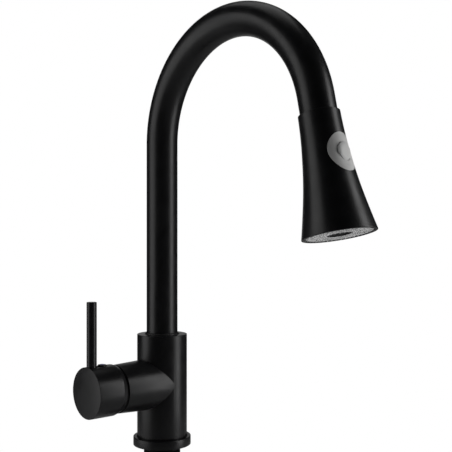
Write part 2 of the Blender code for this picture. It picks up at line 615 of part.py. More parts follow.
dome_inner = DOME_RADIUS - DOME_WALL
skirt_low = NUT_TOP + GAP
skirt_inner = collar_radius + GAP
skirt_outer = CARTRIDGE_RADIUS - GAP
dome_low = STUB_REACH + GAP
dome_rim = math.sqrt(DOME_RADIUS ** 2 - (dome_low - TILT_PIVOT) ** 2)
inner_rim = NECK_RADIUS + 2.6 * MM
dome_points = [(skirt_inner, skirt_low), (skirt_outer, skirt_low), (skirt_outer, dome_low)]
for i in range(7):
    ring = dome_rim + (DOME_MOUTH - dome_rim) * i / 6
    dome_points.append((ring, on_dome(DOME_RADIUS, ring)))
for i in range(5):
    ring = DOME_MOUTH + (inner_rim - DOME_MOUTH) * i / 4
    dome_points.append((ring, on_dome(dome_inner, ring)))
dome_points.append((skirt_inner, on_dome(dome_inner, inner_rim) - 0.6 * MM))
turned("dome_ring", dome_points, 32, valve_axis, BLACK_PLASTIC)

# ---------------------------------------------------------------- handle, about the tilt pivot
back = HUB_BACK - TILT_PIVOT
face = HUB_FACE - TILT_PIVOT
hub = turned("handle_hub", [
    (0.0, back), (HUB_RADIUS - 0.3 * MM, back), (HUB_RADIUS, back + 0.3 * MM),
    (HUB_RADIUS, face - 0.4 * MM), (HUB_RADIUS - 0.12 * MM, face - 0.12 * MM),
    (HUB_RADIUS - 0.4 * MM, face), (0.0, face),
], 56, tilt_axis, MATT_BLACK)
hollow = turned("hub_hollow", [
    (0.0, back - 1 * MM), (HUB_CAVITY_RADIUS + 0.5 * MM, back - 1 * MM), (HUB_CAVITY_RADIUS, back + 2.5 * MM),
    (HUB_CAVITY_RADIUS, back + 5 * MM), (DOME_MOUTH + 1.5 * MM, DOME_RADIUS + 0.8 * MM),
    (0.0, DOME_RADIUS + 0.8 * MM),
], 40, tilt_axis)
grow = math.tan(math.radians(HUB_BEVEL_ANGLE))
bevel_start = HUB_RADIUS - HUB_BEVEL_LENGTH * grow
bevel_reach = 9.0 * MM
bevel_cut = turned("hub_bevel", [
    (bevel_start - 1 * MM * grow, back - 1 * MM), (bevel_start + bevel_reach * grow, back + bevel_reach),
    (HUB_RADIUS + 8 * MM, back + bevel_reach), (HUB_RADIUS + 8 * MM, back - 1 * MM),
], 56, tilt_axis, None, (HUB_BEVEL_SHIFT, 0, 0))
socket_end = STEM_END - TILT_PIVOT + GAP
stem_socket = block(
    "stem_socket", (STEM_WIDTH + 2 * GAP, STEM_WIDTH + 2 * GAP, 20 * MM),
    (0, 0, socket_end - 10 * MM), tilt_axis,
)
cut(hub, bevel_cut, hollow, stem_socket)

lever_low = 8.0 * MM
lever_seat = HUB_RADIUS - 2.3 * MM
lever_high = LEVER_TOP - STUB_HEIGHT
up = (0, math.radians(90), 0)             # local Z back to world +Z
lever_at = (0, 0, LEVER_PLACE - TILT_PIVOT)
pin_socket = turned("lever_socket", [
    (0.0, HUB_RADIUS + 3 * MM), (LEVER_RADIUS + 0.2 * MM, HUB_RADIUS + 3 * MM),
    (LEVER_RADIUS + 0.2 * MM, lever_seat),
    (2.8 * MM, lever_seat), (2.8 * MM, lever_low - GAP), (0.0, lever_low - GAP),
], 24, tilt_axis, None, lever_at, up)
turned("lever_pin", [
    (0.0, lever_high), (LEVER_RADIUS - 0.35 * MM, lever_high), (LEVER_RADIUS, lever_high - 0.35 * MM),
    (LEVER_RADIUS, lever_seat + 0.2 * MM), (2.5 * MM, lever_seat + 0.2 * MM),
    (2.5 * MM, lever_low), (0.0, lever_low),
], 32, tilt_axis, MATT_BLACK, lever_at, up)

plug_at = (0, 0, PLUG_PLACE - TILT_PIVOT)
plug_floor = HUB_RADIUS - 3.6 * MM
grub_low = STEM_WIDTH / 2 + GAP
grub_hole = turned("grub_hole", [
    (0.0, HUB_RADIUS + 2 * MM), (PLUG_RADIUS + 0.2 * MM, HUB_RADIUS + 2 * MM),
    (PLUG_RADIUS + 0.2 * MM, plug_floor),
    (2.6 * MM, plug_floor), (2.6 * MM, grub_low - 1 * MM), (0.0, grub_low - 1 * MM),
], 24, tilt_axis, None, plug_at, up)
cut(hub, pin_socket, grub_hole)
turned("hub_grub_screw", [
    (0.0, grub_low + 6.0 * MM), (1.2 * MM, grub_low + 6.0 * MM),
    (1.2 * MM, grub_low + 8.0 * MM), (2.3 * MM, grub_low + 8.0 * MM),
    (2.3 * MM, grub_low + 0.6 * MM), (1.7 * MM, grub_low), (0.0, grub_low),
], 16, tilt_axis, STEEL, plug_at, up)
plug_top = HUB_RADIUS + PLUG_RISE
turned("index_plug", [
    (0.0, plug_top - 0.9 * MM), (MARK_RADIUS + 0.2 * MM, plug_top - 0.9 * MM),
    (MARK_RADIUS + 0.2 * MM, plug_top),
    (PLUG_RADIUS - 0.6 * MM, plug_top - 0.1 * MM), (PLUG_RADIUS, plug_top - 0.55 * MM),
    (PLUG_RADIUS, plug_floor + 0.2 * MM), (0.0, plug_floor + 0.2 * MM),
], 24, tilt_axis, BLACK_PLASTIC, plug_at, up)
turned("index_mark", [
    (0.0, plug_top + MARK_RISE), (MARK_RADIUS * 0.6, plug_top + 0.8 * MARK_RISE), (MARK_RADIUS, plug_top),
    (MARK_RADIUS, plug_top - 0.7 * MM), (0.0, plug_top - 0.7 * MM),
], 20, tilt_axis, BLUE, plug_at, up)

# ---------------------------------------------------------------- spray head, down its own axis


def head_radius(place_down):
    """Outer radius of the head, a smooth curve through HEAD_RADII."""
    count = len(HEAD_RADII) - 1
    spot = min(max(place_down / HEAD_LENGTH * count, 0.0), count)
    i = min(int(spot), count - 1)
    t = spot - i
    p1, p2 = HEAD_RADII[i], HEAD_RADII[i + 1]
    m1 = (HEAD_RADII[i + 1] - HEAD_RADII[i - 1]) / 2 if i > 0 else p2 - p1
    m2 = (HEAD_RADII[i + 2] - HEAD_RADII[i]) / 2 if i + 2 <= count else p2 - p1
    if i == 0:
        m1 = 2 * (p2 - p1) - m2
    if i + 2 > count:
        m2 = 2 * (p2 - p1) - m1
    a, b = t * t * t, t * t
    return (2 * a - 3 * b + 1) * p1 + (a - 2 * b + t) * m1 + (-2 * a + 3 * b) * p2 + (a - b) * m2


sleeve_bore = TUBE_RADIUS + SLEEVE_GAP
web_top = bush_lip + 3.7 * MM
web_low = web_top + 2.6 * MM
shell_points = [(sleeve_bore, 0.0), (HEAD_RADII[0] - 0.25 * MM, 0.0)]
shell_points += [(head_radius(HEAD_LENGTH * i / 11), max(HEAD_LENGTH * i / 11, 0.3 * MM)) for i in range(11)]
shell_points += [
    (HEAD_RADII[-1], HEAD_LENGTH - 0.5 * MM), (HEAD_RADII[-1] - 0.5 * MM, HEAD_LENGTH),
    (FACE_RADIUS + GAP, HEAD_LENGTH), (FACE_RADIUS + GAP, HEAD_LENGTH - FACE_THICKNESS - FACE_SUNK - GAP),
    (FACE_RADIUS - 1.2 * MM, HEAD_LENGTH - FACE_THICKNESS - FACE_SUNK - GAP),
]
inside_low = HEAD_LENGTH - FACE_THICKNESS - FACE_SUNK - 3 * MM
for i in range(4):
    down = inside_low + (web_low - inside_low) * i / 3
    shell_points.append((head_radius(down) - WALL, down))
shell_points += [(NUT_NECK_RADIUS + GAP, web_low), (NUT_NECK_RADIUS + GAP, web_top), (sleeve_bore, web_top)]
shell = turned("spray_head_shell", shell_points, 48, head_axis, MATT_BLACK)

pad_reach = HEAD_RADII[-1] + 6 * MM
button_axis = empty("button_slide_axis", head_axis, (0, 0, PAD_PLACE))


def head_skin(name, offset, low, high, steps):
    """A solid with the head's outer curve, moved in or out by offset."""
    points = [(0.0, low)]
    for i in range(7):
        down = low + (high - low) * i / 6
        points.append((head_radius(down) + offset, down))
    points.append((0.0, high))
    return turned(name, points, steps, head_axis)


skin_low = PAD_PLACE - PAD_HALF_LENGTH - 3 * MM
skin_high = PAD_PLACE + PAD_HALF_LENGTH + 3 * MM
pocket_core = head_skin("pocket_core", -PAD_DEPTH - GAP, skin_low - 1 * MM, skin_high + 1 * MM, 48)
pad_pocket = oval_rod(
    "pad_pocket", PAD_HALF_LENGTH + PAD_GAP, PAD_HALF_WIDTH + PAD_GAP, 4 * MM, pad_reach, 32, button_axis
)
cut(pad_pocket, pocket_core)
button_hole = oval_rod(
    "button_hole", BUTTON_HALF_LENGTH + BUTTON_GAP, BUTTON_HALF_WIDTH + BUTTON_GAP, 5 * MM, pad_reach, 32,
    button_axis,
)
cut(shell, pad_pocket, button_hole)

pad_outer = head_skin("pad_outer", 0.05 * MM, skin_low, skin_high, 48)
pad_core = head_skin("pad_core", -PAD_DEPTH, skin_low - 1 * MM, skin_high + 1 * MM, 48)
pad = oval_rod("grip_pad", PAD_HALF_LENGTH, PAD_HALF_WIDTH, 4 * MM, pad_reach, 32, button_axis, GREY_PAD)
cut(pad, pad_outer, mode="INTERSECT")
cut(pad, pad_core, button_hole)

front = head_radius(PAD_PLACE)
button = oval_rod(
    "mode_button", BUTTON_HALF_LENGTH, BUTTON_HALF_WIDTH, front - 1.6 * MM, front + BUTTON_RISE, 32,
    button_axis, GREY_PAD, 0.6 * MM,
)
piston_tip = 6.5 * MM
forward = (math.radians(-90), 0, 0)        # local Z to the head's front
turned("diverter_valve", [
    (0.0, front - 1.9 * MM), (2.0 * MM, front - 1.9 * MM), (2.0 * MM, CORE_RADIUS + 0.4 * MM),
    (2.8 * MM, CORE_RADIUS - 0.2 * MM), (2.8 * MM, piston_tip), (0.0, piston_tip),
], 16, button_axis, WHITE_PLASTIC, (0, 0, 0), forward)
turned("button_spring", [
    (3.9 * MM, front - 2.0 * MM), (3.9 * MM, CORE_RADIUS + 0.5 * MM),
    (3.0 * MM, CORE_RADIUS + 0.5 * MM), (3.0 * MM, front - 2.0 * MM),
], 16, button_axis, STEEL, (0, 0, 0), forward)

# hose nut: its cone seats in the docking bush, its thread is in the waterway
nut_tip = -1.0 * MM
thread_end = web_low + 8 * MM
turned("hose_nut", [
    (3.0 * MM, nut_tip), (HOSE_RADIUS + 0.2 * MM, nut_tip), (NUT_NECK_RADIUS, cone_end - 0.4 * MM),
    (NUT_NECK_RADIUS, web_low + 0.4 * MM), (NUT_THREAD_RADIUS, web_low + 0.8 * MM),
    (NUT_THREAD_RADIUS, thread_end), (3.0 * MM, thread_end),
], 28, head_axis, BRASS)

core_top = web_low + 1.2 * MM
thread_bore = NUT_THREAD_RADIUS + GAP
core_floor = thread_end + 2.4 * MM
flow_bore = 5.6 * MM
chamber_low = HEAD_LENGTH - CHAMBER_RISE
chamber_top = chamber_low - 4 * MM
chamber_radius = head_radius(chamber_top) - WALL - 0.6 * MM
waterway = turned("head_waterway", [
    (thread_bore, core_top), (CORE_RADIUS, core_top), (CORE_RADIUS, chamber_top),
    (chamber_radius, chamber_top), (chamber_radius, chamber_low),
    (flow_bore, chamber_low), (flow_bore, core_floor), (thread_bore, core_floor),
], 28, head_axis, WHITE_PLASTIC)
valve_bore = rod(
    "diverter_bore", 2.8 * MM + GAP, 0.0, CORE_RADIUS + 2 * MM, 16, button_axis, None, (0, 0, 0), forward
)
cut(waterway, valve_bore)
turned("filter_washer", [
    (thread_bore - GAP, thread_end + GAP), (thread_bore - GAP, core_floor - GAP),
    (4.0 * MM, core_floor - GAP), (4.0 * MM, thread_end + GAP),
], 24, head_axis, RUBBER)
check_low = PAD_PLACE + 6 * MM
turned("check_valve", [
    (flow_bore - GAP, check_low), (flow_bore - GAP, check_low + 14 * MM),
    (3.0 * MM, check_low + 14 * MM), (3.0 * MM, check_low),
], 20, head_axis, BLACK_PLASTIC)
plate_low = HEAD_LENGTH - PLATE_RISE
plate_top = plate_low - 2.5 * MM
plate_radius = head_radius(plate_top) - WALL - 0.8 * MM
plate = turned("spray_chamber_plate", [
    (5.0 * MM, plate_top), (plate_radius, plate_top),
    (plate_radius, plate_low), (5.0 * MM, plate_low),
], 28, head_axis, WHITE_PLASTIC)
jet_circle = 14 * MM
for i in range(6):
    angle = math.radians(60 * i)
    jet_at = (jet_circle * math.cos(angle), jet_circle * math.sin(angle), 0)
    jet = rod("jet_%d" % i, 1.6 * MM, plate_top - 1 * MM, plate_low + 1 * MM, 10, head_axis, None, jet_at)
    cut(plate, jet)
face_low = HEAD_LENGTH - FACE_SUNK
turned("spray_face", [
    (AERATOR_RADIUS + GAP, face_low - FACE_THICKNESS), (FACE_RADIUS, face_low - FACE_THICKNESS),
    (FACE_RADIUS, face_low), (AERATOR_RADIUS + GAP, face_low),
], 56, head_axis, PALE_FACE)
turned("aerator", [
    (0.0, face_low - AERATOR_DEPTH), (AERATOR_RADIUS, face_low - AERATOR_DEPTH), (AERATOR_RADIUS, face_low),
    (AERATOR_RADIUS - 1.1 * MM, face_low), (AERATOR_RADIUS - 1.1 * MM, face_low - 1.4 * MM),
    (0.0, face_low - 1.4 * MM),
], 32, head_axis, BLACK_PLASTIC)
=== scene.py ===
"""Looks of a pull down kitchen faucet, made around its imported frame.

Every piece is made in place, in metres, about one of three axes read from the frame: the deck hole's
upright axis, the valve's level axis and the spray head's slanting axis.
"""

import json
import math

import bmesh
import bpy
from bpy.props import FloatProperty, FloatVectorProperty, IntProperty, PointerProperty
from mathutils import Matrix, Vector


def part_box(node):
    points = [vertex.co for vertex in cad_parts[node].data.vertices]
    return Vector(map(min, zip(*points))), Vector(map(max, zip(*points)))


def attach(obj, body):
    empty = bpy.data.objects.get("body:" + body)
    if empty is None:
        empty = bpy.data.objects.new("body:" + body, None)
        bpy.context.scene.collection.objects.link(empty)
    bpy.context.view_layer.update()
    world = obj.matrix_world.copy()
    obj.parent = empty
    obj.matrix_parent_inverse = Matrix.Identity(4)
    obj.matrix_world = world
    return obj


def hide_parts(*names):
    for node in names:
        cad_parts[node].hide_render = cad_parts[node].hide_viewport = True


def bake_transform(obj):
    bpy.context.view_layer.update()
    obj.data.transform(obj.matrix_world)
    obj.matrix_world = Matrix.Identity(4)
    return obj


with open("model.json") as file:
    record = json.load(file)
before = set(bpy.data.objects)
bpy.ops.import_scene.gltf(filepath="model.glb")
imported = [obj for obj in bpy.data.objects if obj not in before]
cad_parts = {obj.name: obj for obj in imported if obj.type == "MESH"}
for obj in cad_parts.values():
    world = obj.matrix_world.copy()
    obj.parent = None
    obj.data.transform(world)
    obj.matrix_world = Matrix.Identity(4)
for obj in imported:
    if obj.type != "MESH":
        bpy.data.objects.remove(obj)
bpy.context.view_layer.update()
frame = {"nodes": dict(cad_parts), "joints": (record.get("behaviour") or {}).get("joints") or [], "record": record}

bl_info = {
    "name": "Pull Down Kitchen Faucet",
    "version": (1, 0, 0),
    "blender": (4, 5, 0),
    "location": "View3D > Sidebar > Faucet",
    "description": "Builds the faucet's fine surfaces and finishes around its frame",
    "category": "Object",
}

MM = 0.001
SIDES = 160                      # round sides of the large turned pieces
FINE_SIDES = 64                  # of the small ones
GAP = 0.3 * MM
PAD_REACH = 34 * MM

# ------------------------------------------------------------------ places, from the frame


def joint(name):
    return next(j for j in frame["joints"] if j["name"] == name)


def axis_place(origin, ahead):
    """Matrix whose local Z runs ahead, with local X as near to the row frame's +Z or +X as it can be."""
    ahead = Vector(ahead).normalized()
    side = Vector((0, 0, 1)) if abs(ahead.x) > 0.9 else Vector((1, 0, 0))
    forward = ahead.cross(side).normalized()
    turn = Matrix((side, forward, ahead)).transposed().to_4x4()
    return Matrix.Translation(origin) @ turn


class Span:
    """How far a CAD node reaches along an axis and about it."""

    def __init__(self, node, place):
        back = place.inverted()
        spots = [back @ v.co for v in frame["nodes"][node].data.vertices]
        self.rings = sorted((v.z, math.hypot(v.x, v.y)) for v in spots)
        self.low = self.rings[0][0]
        self.high = self.rings[-1][0]
        self.outer = max(r for _, r in self.rings)
        self.inner = min(r for _, r in self.rings)

    def radius_near(self, height, slack=0.6 * MM):
        return max(r for z, r in self.rings if abs(z - height) < slack)


UPRIGHT = Matrix.Identity(4)
VALVE = axis_place((0, 0, joint("lever_tilt")["pos_m"][2]), (-1, 0, 0))
HEAD = axis_place(joint("head_spin")["pos_m"], joint("head_spin")["axis"])
HEAD_WAY = Vector(joint("head_pull")["axis"]).normalized()
PULL = joint("head_pull")["range_m"][1]
PIVOT = -joint("lever_tilt")["pos_m"][0]
SHELL = Span("spray_head_shell", HEAD)


# ------------------------------------------------------------------ mesh helpers


def arc_corner(before, corner, after, radius, steps):
    """The corner of a profile, rounded: points on a quadratic curve from one side to the other."""
    a, c, b = Vector(before), Vector(corner), Vector(after)
    start = c + (a - c).normalized() * radius
    end = c + (b - c).normalized() * radius
    points = []
    for i in range(steps + 1):
        t = i / steps
        points.append(tuple(start * (1 - t) ** 2 + c * 2 * t * (1 - t) + end * t * t))
    return points


def rounded(profile, rounds, closed=False, steps=4):
    """A profile with some of its corners rounded; rounds gives each corner's index and radius."""
    out = []
    count = len(profile)
    for i, corner in enumerate(profile):
        if i in rounds:
            before = profile[i - 1] if closed or i else profile[i]
            after = profile[(i + 1) % count]
            out += arc_corner(before, corner, after, rounds[i], steps)
        else:
            out.append(corner)
    return out


def lathe(profile, sides=SIDES, closed=False):
    """A bmesh turned about local Z from (radius, height) points. A closed profile makes a ring."""
    shape = bmesh.new()
    corners = [shape.verts.new((r, 0, z)) for r, z in profile]
    pairs = list(zip(corners, corners[1:]))
    if closed:
        pairs.append((corners[-1], corners[0]))
    for a, b in pairs:
        shape.edges.new((a, b))
    bmesh.ops.spin(
        shape, geom=shape.verts[:] + shape.edges[:], cent=(0, 0, 0), axis=(0, 0, 1),
        angle=math.tau, steps=sides, use_merge=True,
    )
    bmesh.ops.remove_doubles(shape, verts=shape.verts, dist=0.5e-6)
    bmesh.ops.recalc_face_normals(shape, faces=shape.faces)
    return shape


def bar(radius, low, high, sides=FINE_SIDES):
    """A plain round bar along local Z."""
    return lathe([(0, low), (radius, low), (radius, high), (0, high)], sides)


def oval(half_length, half_width, low, high, sides=96):
    """An oval bar along local Y, long along local Z."""
    shape = bar(1.0, low, high, sides)
    bmesh.ops.scale(shape, vec=(half_width, half_length, 1), verts=shape.verts)
    bmesh.ops.rotate(shape, cent=(0, 0, 0), matrix=Matrix.Rotation(math.radians(-90), 3, "X"), verts=shape.verts)
    return shape


def brick(size, centre):
    shape = bmesh.new()
    bmesh.ops.create_cube(shape, size=1.0)
    bmesh.ops.scale(shape, vec=size, verts=shape.verts)
    bmesh.ops.translate(shape, vec=centre, verts=shape.verts)
    return shape


def moved(shape, place):
    bmesh.ops.transform(shape, matrix=place, verts=shape.verts)
    return shape


def mesh_of(shape, name):
    mesh = bpy.data.meshes.new(name)
    shape.to_mesh(mesh)
    shape.free()
    return mesh


def joined(base, *steps):
    """base with each (way, tool) applied in turn; way is UNION, DIFFERENCE or INTERSECT."""
    holder = bpy.data.objects.new("work", mesh_of(base, "work"))
    bpy.context.scene.collection.objects.link(holder)
    tools = []
    for way, tool in steps:
        cutter = bpy.data.objects.new("tool", mesh_of(tool, "tool"))
        bpy.context.scene.collection.objects.link(cutter)
        tools.append(cutter)
        step = holder.modifiers.new(way, "BOOLEAN")
        step.operation = way
        step.solver = "EXACT"
        step.object = cutter
    bpy.context.view_layer.update()
    result = bpy.data.meshes.new_from_object(holder.evaluated_get(bpy.context.evaluated_depsgraph_get()))
    shape = bmesh.new()
    shape.from_mesh(result)
    for gone in [holder] + tools:
        old = gone.data
        bpy.data.objects.remove(gone, do_unlink=True)
        bpy.data.meshes.remove(old)
    bpy.data.meshes.remove(result)
    bmesh.ops.remove_doubles(shape, verts=shape.verts, dist=0.5e-6)
    return shape


def piece(name, shape, body, material, nodes=(), sharp=20):
    """Makes the piece, rides it on its body and lets it stand for its CAD nodes."""
    mesh = mesh_of(shape, name)
    mesh.shade_smooth()
    mesh.set_sharp_from_angle(angle=math.radians(sharp))
    mesh.materials.clear()
    mesh.materials.append(material)
    made = bpy.data.objects.new(name, mesh)
    bpy.context.scene.collection.objects.link(made)
    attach(made, body)
    if nodes:
        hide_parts(*nodes)
    return made


# ------------------------------------------------------------------ shader helpers


def add(tree, kind, settings=None, **values):
    """A node with its settings and socket values; a value that is a socket is linked."""
    made = tree.nodes.new(kind)
    for key, value in (settings or {}).items():
        setattr(made, key, value)
    for key, value in values.items():
        socket = made.inputs[int(key[1:])] if key[0] == "i" and key[1:].isdigit() else made.inputs[key]
        if isinstance(value, bpy.types.NodeSocket):
            tree.links.new(value, socket)
        else:
            socket.default_value = value
    return made


def effect(name, inputs, outputs):
    """A new shader node group with those sockets, and its input and output nodes."""
    tree = bpy.data.node_groups.new(name, "ShaderNodeTree")
    for label, kind, value in inputs:
        socket = tree.interface.new_socket(name=label, in_out="INPUT", socket_type="NodeSocket" + kind)
        if value is not None:
            socket.default_value = value
    for label, kind in outputs:
        tree.interface.new_socket(name=label, in_out="OUTPUT", socket_type="NodeSocket" + kind)
    return tree, tree.nodes.new("NodeGroupInput"), tree.nodes.new("NodeGroupOutput")


def math_node(tree, operation, a, b=0.0, clamp=False):
    return add(tree, "ShaderNodeMath", {"operation": operation, "use_clamp": clamp}, i0=a, i1=b).outputs[0]


def ramp(tree, value, low, high, out_low, out_high):
    made = add(tree, "ShaderNodeMapRange", {"interpolation_type": "SMOOTHSTEP"})
    for index, number in enumerate((value, low, high, out_low, out_high)):
        if isinstance(number, bpy.types.NodeSocket):
            tree.links.new(number, made.inputs[index])
        else:
            made.inputs[index].default_value = number
    return made.outputs[0]


def blend_colour(tree, factor, a, b):
    made = add(tree, "ShaderNodeMix", {"data_type": "RGBA"}, i0=factor, i6=a, i7=b)
    return made.outputs[2]


def fine_grain():
    """Fine pebble of a sprayed or moulded skin. Tone varies slowly, for colour and gloss."""
    tree, start, end = effect(
        "fine_grain",
        [("Place", "Vector", None), ("Grain", "Float", 3500.0), ("Depth", "Float", 1.0)],
        [("Height", "Float"), ("Tone", "Float")],
    )
    fine = add(tree, "ShaderNodeTexNoise", Vector=start.outputs["Place"], Scale=start.outputs["Grain"], Detail=3.0)
    coarse = math_node(tree, "MULTIPLY", start.outputs["Grain"], 0.35)
    cells = add(tree, "ShaderNodeTexVoronoi", Vector=start.outputs["Place"], Scale=coarse)
    both = math_node(tree, "ADD", fine.outputs[0], math_node(tree, "MULTIPLY", cells.outputs[0], 0.4))
    tree.links.new(math_node(tree, "MULTIPLY", both, start.outputs["Depth"]), end.inputs["Height"])
    slow = math_node(tree, "MULTIPLY", start.outputs["Grain"], 0.02)
    cloud = add(tree, "ShaderNodeTexNoise", Vector=start.outputs["Place"], Scale=slow, Detail=4.0)
    tree.links.new(ramp(tree, cloud.outputs[0], 0.3, 0.7, 0.0, 1.0), end.inputs["Tone"])
    return tree


def handling():
    """Faint smears and rubbed patches where hands and cloths pass."""
    tree, start, end = effect(
        "handling", [("Place", "Vector", None), ("Spread", "Float", 45.0)], [("Smear", "Float")]
    )
    wide = add(tree, "ShaderNodeTexNoise", Vector=start.outputs["Place"], Scale=start.outputs["Spread"], Detail=5.0,
               Distortion=0.8)
    stretch = add(tree, "ShaderNodeMapping", Vector=start.outputs["Place"], Scale=(900, 900, 120))
    wiped = add(tree, "ShaderNodeTexNoise", Vector=stretch.outputs[0], Scale=1.0, Detail=2.0)
    total = math_node(tree, "MULTIPLY", ramp(tree, wide.outputs[0], 0.42, 0.72, 0, 1), wiped.outputs[0])
    tree.links.new(total, end.inputs["Smear"])
    return tree


def settled_dust():
    """Thin dust on what faces up."""
    tree, start, end = effect(
        "settled_dust", [("Place", "Vector", None), ("Amount", "Float", 0.1)], [("Mask", "Float")]
    )
    normal = add(tree, "ShaderNodeSeparateXYZ", Vector=tree.nodes.new("ShaderNodeNewGeometry").outputs["Normal"])
    facing = ramp(tree, normal.outputs[2], 0.45, 1.0, 0.0, 1.0)
    specks = add(tree, "ShaderNodeTexNoise", Vector=start.outputs["Place"], Scale=700.0, Detail=6.0)
    mask = math_node(tree, "MULTIPLY", facing, ramp(tree, specks.outputs[0], 0.45, 0.75, 0.15, 1.0))
    tree.links.new(math_node(tree, "MULTIPLY", mask, start.outputs["Amount"]), end.inputs["Mask"])
    return tree


def edge_rub():
    """Outer edges that touch cloths and hands, broken up by noise."""
    tree, start, end = effect(
        "edge_rub", [("Place", "Vector", None), ("Amount", "Float", 0.5)], [("Mask", "Float")]
    )
    point = tree.nodes.new("ShaderNodeNewGeometry").outputs["Pointiness"]
    edges = ramp(tree, point, 0.53, 0.62, 0.0, 1.0)
    patches = add(tree, "ShaderNodeTexNoise", Vector=start.outputs["Place"], Scale=260.0, Detail=5.0)
    mask = math_node(tree, "MULTIPLY", edges, ramp(tree, patches.outputs[0], 0.4, 0.65, 0.2, 1.0))
    tree.links.new(math_node(tree, "MULTIPLY", mask, start.outputs["Amount"]), end.inputs["Mask"])
    return tree


def lathe_lines():
    """Fine rings that a cutting tool leaves round a turned piece; Place's Z runs along its axis."""
    tree, start, end = effect(
        "lathe_lines", [("Place", "Vector", None), ("Pitch", "Float", 9000.0)], [("Height", "Float")]
    )
    split = add(tree, "ShaderNodeSeparateXYZ", Vector=start.outputs["Place"])
    reach = add(tree, "ShaderNodeVectorMath", {"operation": "LENGTH"}, i0=start.outputs["Place"])
    along = math_node(tree, "ADD", split.outputs[2], math_node(tree, "MULTIPLY", reach.outputs["Value"], 0.7))
    lines = add(tree, "ShaderNodeTexNoise", {"noise_dimensions": "1D"}, Scale=start.outputs["Pitch"],
                Detail=2.0, W=along)
    tree.links.new(lines.outputs[0], end.inputs["Height"])
    return tree


def woven_braid():
    """Crossing strands round a hose. Place holds the share of a turn and the length along it in metres."""
    tree, start, end = effect(
        "woven_braid",
        [("Place", "Vector", None), ("Strands", "Float", 12.0), ("Lay", "Float", 420.0)],
        [("Height", "Float"), ("Strand", "Float")],
    )
    split = add(tree, "ShaderNodeSeparateXYZ", Vector=start.outputs["Place"])
    round_by = math_node(tree, "MULTIPLY", split.outputs[0], start.outputs["Strands"])
    along_by = math_node(tree, "MULTIPLY", split.outputs[1], start.outputs["Lay"])
    waves = []
    for way in ("ADD", "SUBTRACT"):
        turn = math_node(tree, "MULTIPLY", math_node(tree, way, round_by, along_by), math.pi)
        waves.append(math_node(tree, "ABSOLUTE", math_node(tree, "SINE", turn)))
    height = math_node(tree, "MULTIPLY", waves[0], waves[1])
    tree.links.new(height, end.inputs["Height"])
    tree.links.new(ramp(tree, height, 0.05, 0.5, 0.0, 1.0), end.inputs["Strand"])
    return tree


EFFECTS = {}
MAKERS = {
    "fine_grain": fine_grain, "handling": handling, "settled_dust": settled_dust,
    "edge_rub": edge_rub, "lathe_lines": lathe_lines, "woven_braid": woven_braid,
}


def use(tree, name, **values):
    """One of the shared effects, placed in a material with its own values."""
    if name not in EFFECTS:
        EFFECTS[name] = MAKERS[name]()
    made = tree.nodes.new("ShaderNodeGroup")
    made.node_tree = EFFECTS[name]
    for key, value in values.items():
        if isinstance(value, bpy.types.NodeSocket):
            tree.links.new(value, made.inputs[key])
        else:
            made.inputs[key].default_value = value
    return made


def shade(colour, factor):
    return tuple(min(1.0, c * factor) for c in colour[:3]) + (1.0,)


def start_material(name, metallic=0.0, **sockets):
    made = bpy.data.materials.new(name)
    made.use_nodes = True
    tree = made.node_tree
    shader = tree.nodes["Principled BSDF"]
    shader.inputs["Metallic"].default_value = metallic
    for key, value in sockets.items():
        shader.inputs[key.replace("_", " ")].default_value = value
    return made, tree, shader


def place_of(tree, place=UPRIGHT):
    """Object coordinates, turned and centred on an axis."""
    place_in = tree.nodes.new("ShaderNodeTexCoord").outputs["Object"]
    if place == UPRIGHT:
        return place_in
    back = place.inverted()
    turn = add(tree, "ShaderNodeMapping", Vector=place_in)
    turn.inputs["Location"].default_value = back.translation
    turn.inputs["Rotation"].default_value = back.to_euler()
    return turn.outputs[0]


def skin(name, colour, rough, grain=3500.0, bump=0.12, depth=0.00004, dust=0.05, rub=0.5, rub_colour=None,
         metallic=0.0, **sockets):
    """A sprayed, moulded or rubber skin: grain, uneven gloss, faint smears, rubbed edges and a little dust."""
    made, tree, shader = start_material(name, metallic, **sockets)
    place = place_of(tree)
    pebble = use(tree, "fine_grain", Place=place, Grain=grain, Depth=1.0)
    smear = use(tree, "handling", Place=place, Spread=45.0)
    dusty = use(tree, "settled_dust", Place=place, Amount=dust)
    worn = use(tree, "edge_rub", Place=place, Amount=rub)
    base = blend_colour(tree, pebble.outputs["Tone"], shade(colour, 0.86), shade(colour, 1.14))
    base = blend_colour(tree, worn.outputs["Mask"], base, rub_colour or shade(colour, 2.2))
    base = blend_colour(tree, dusty.outputs["Mask"], base, (0.36, 0.35, 0.33, 1.0))
    tree.links.new(base, shader.inputs["Base Color"])
    gloss = ramp(tree, pebble.outputs["Tone"], 0.0, 1.0, rough - 0.025, rough + 0.025)
    gloss = math_node(tree, "SUBTRACT", gloss, math_node(tree, "MULTIPLY", smear.outputs["Smear"], 0.035))
    gloss = math_node(tree, "ADD", gloss, math_node(tree, "MULTIPLY", dusty.outputs["Mask"], 0.5), True)
    tree.links.new(gloss, shader.inputs["Roughness"])
    bumps = add(tree, "ShaderNodeBump", Strength=bump, Distance=depth, Height=pebble.outputs["Height"])
    tree.links.new(bumps.outputs[0], shader.inputs["Normal"])
    return made


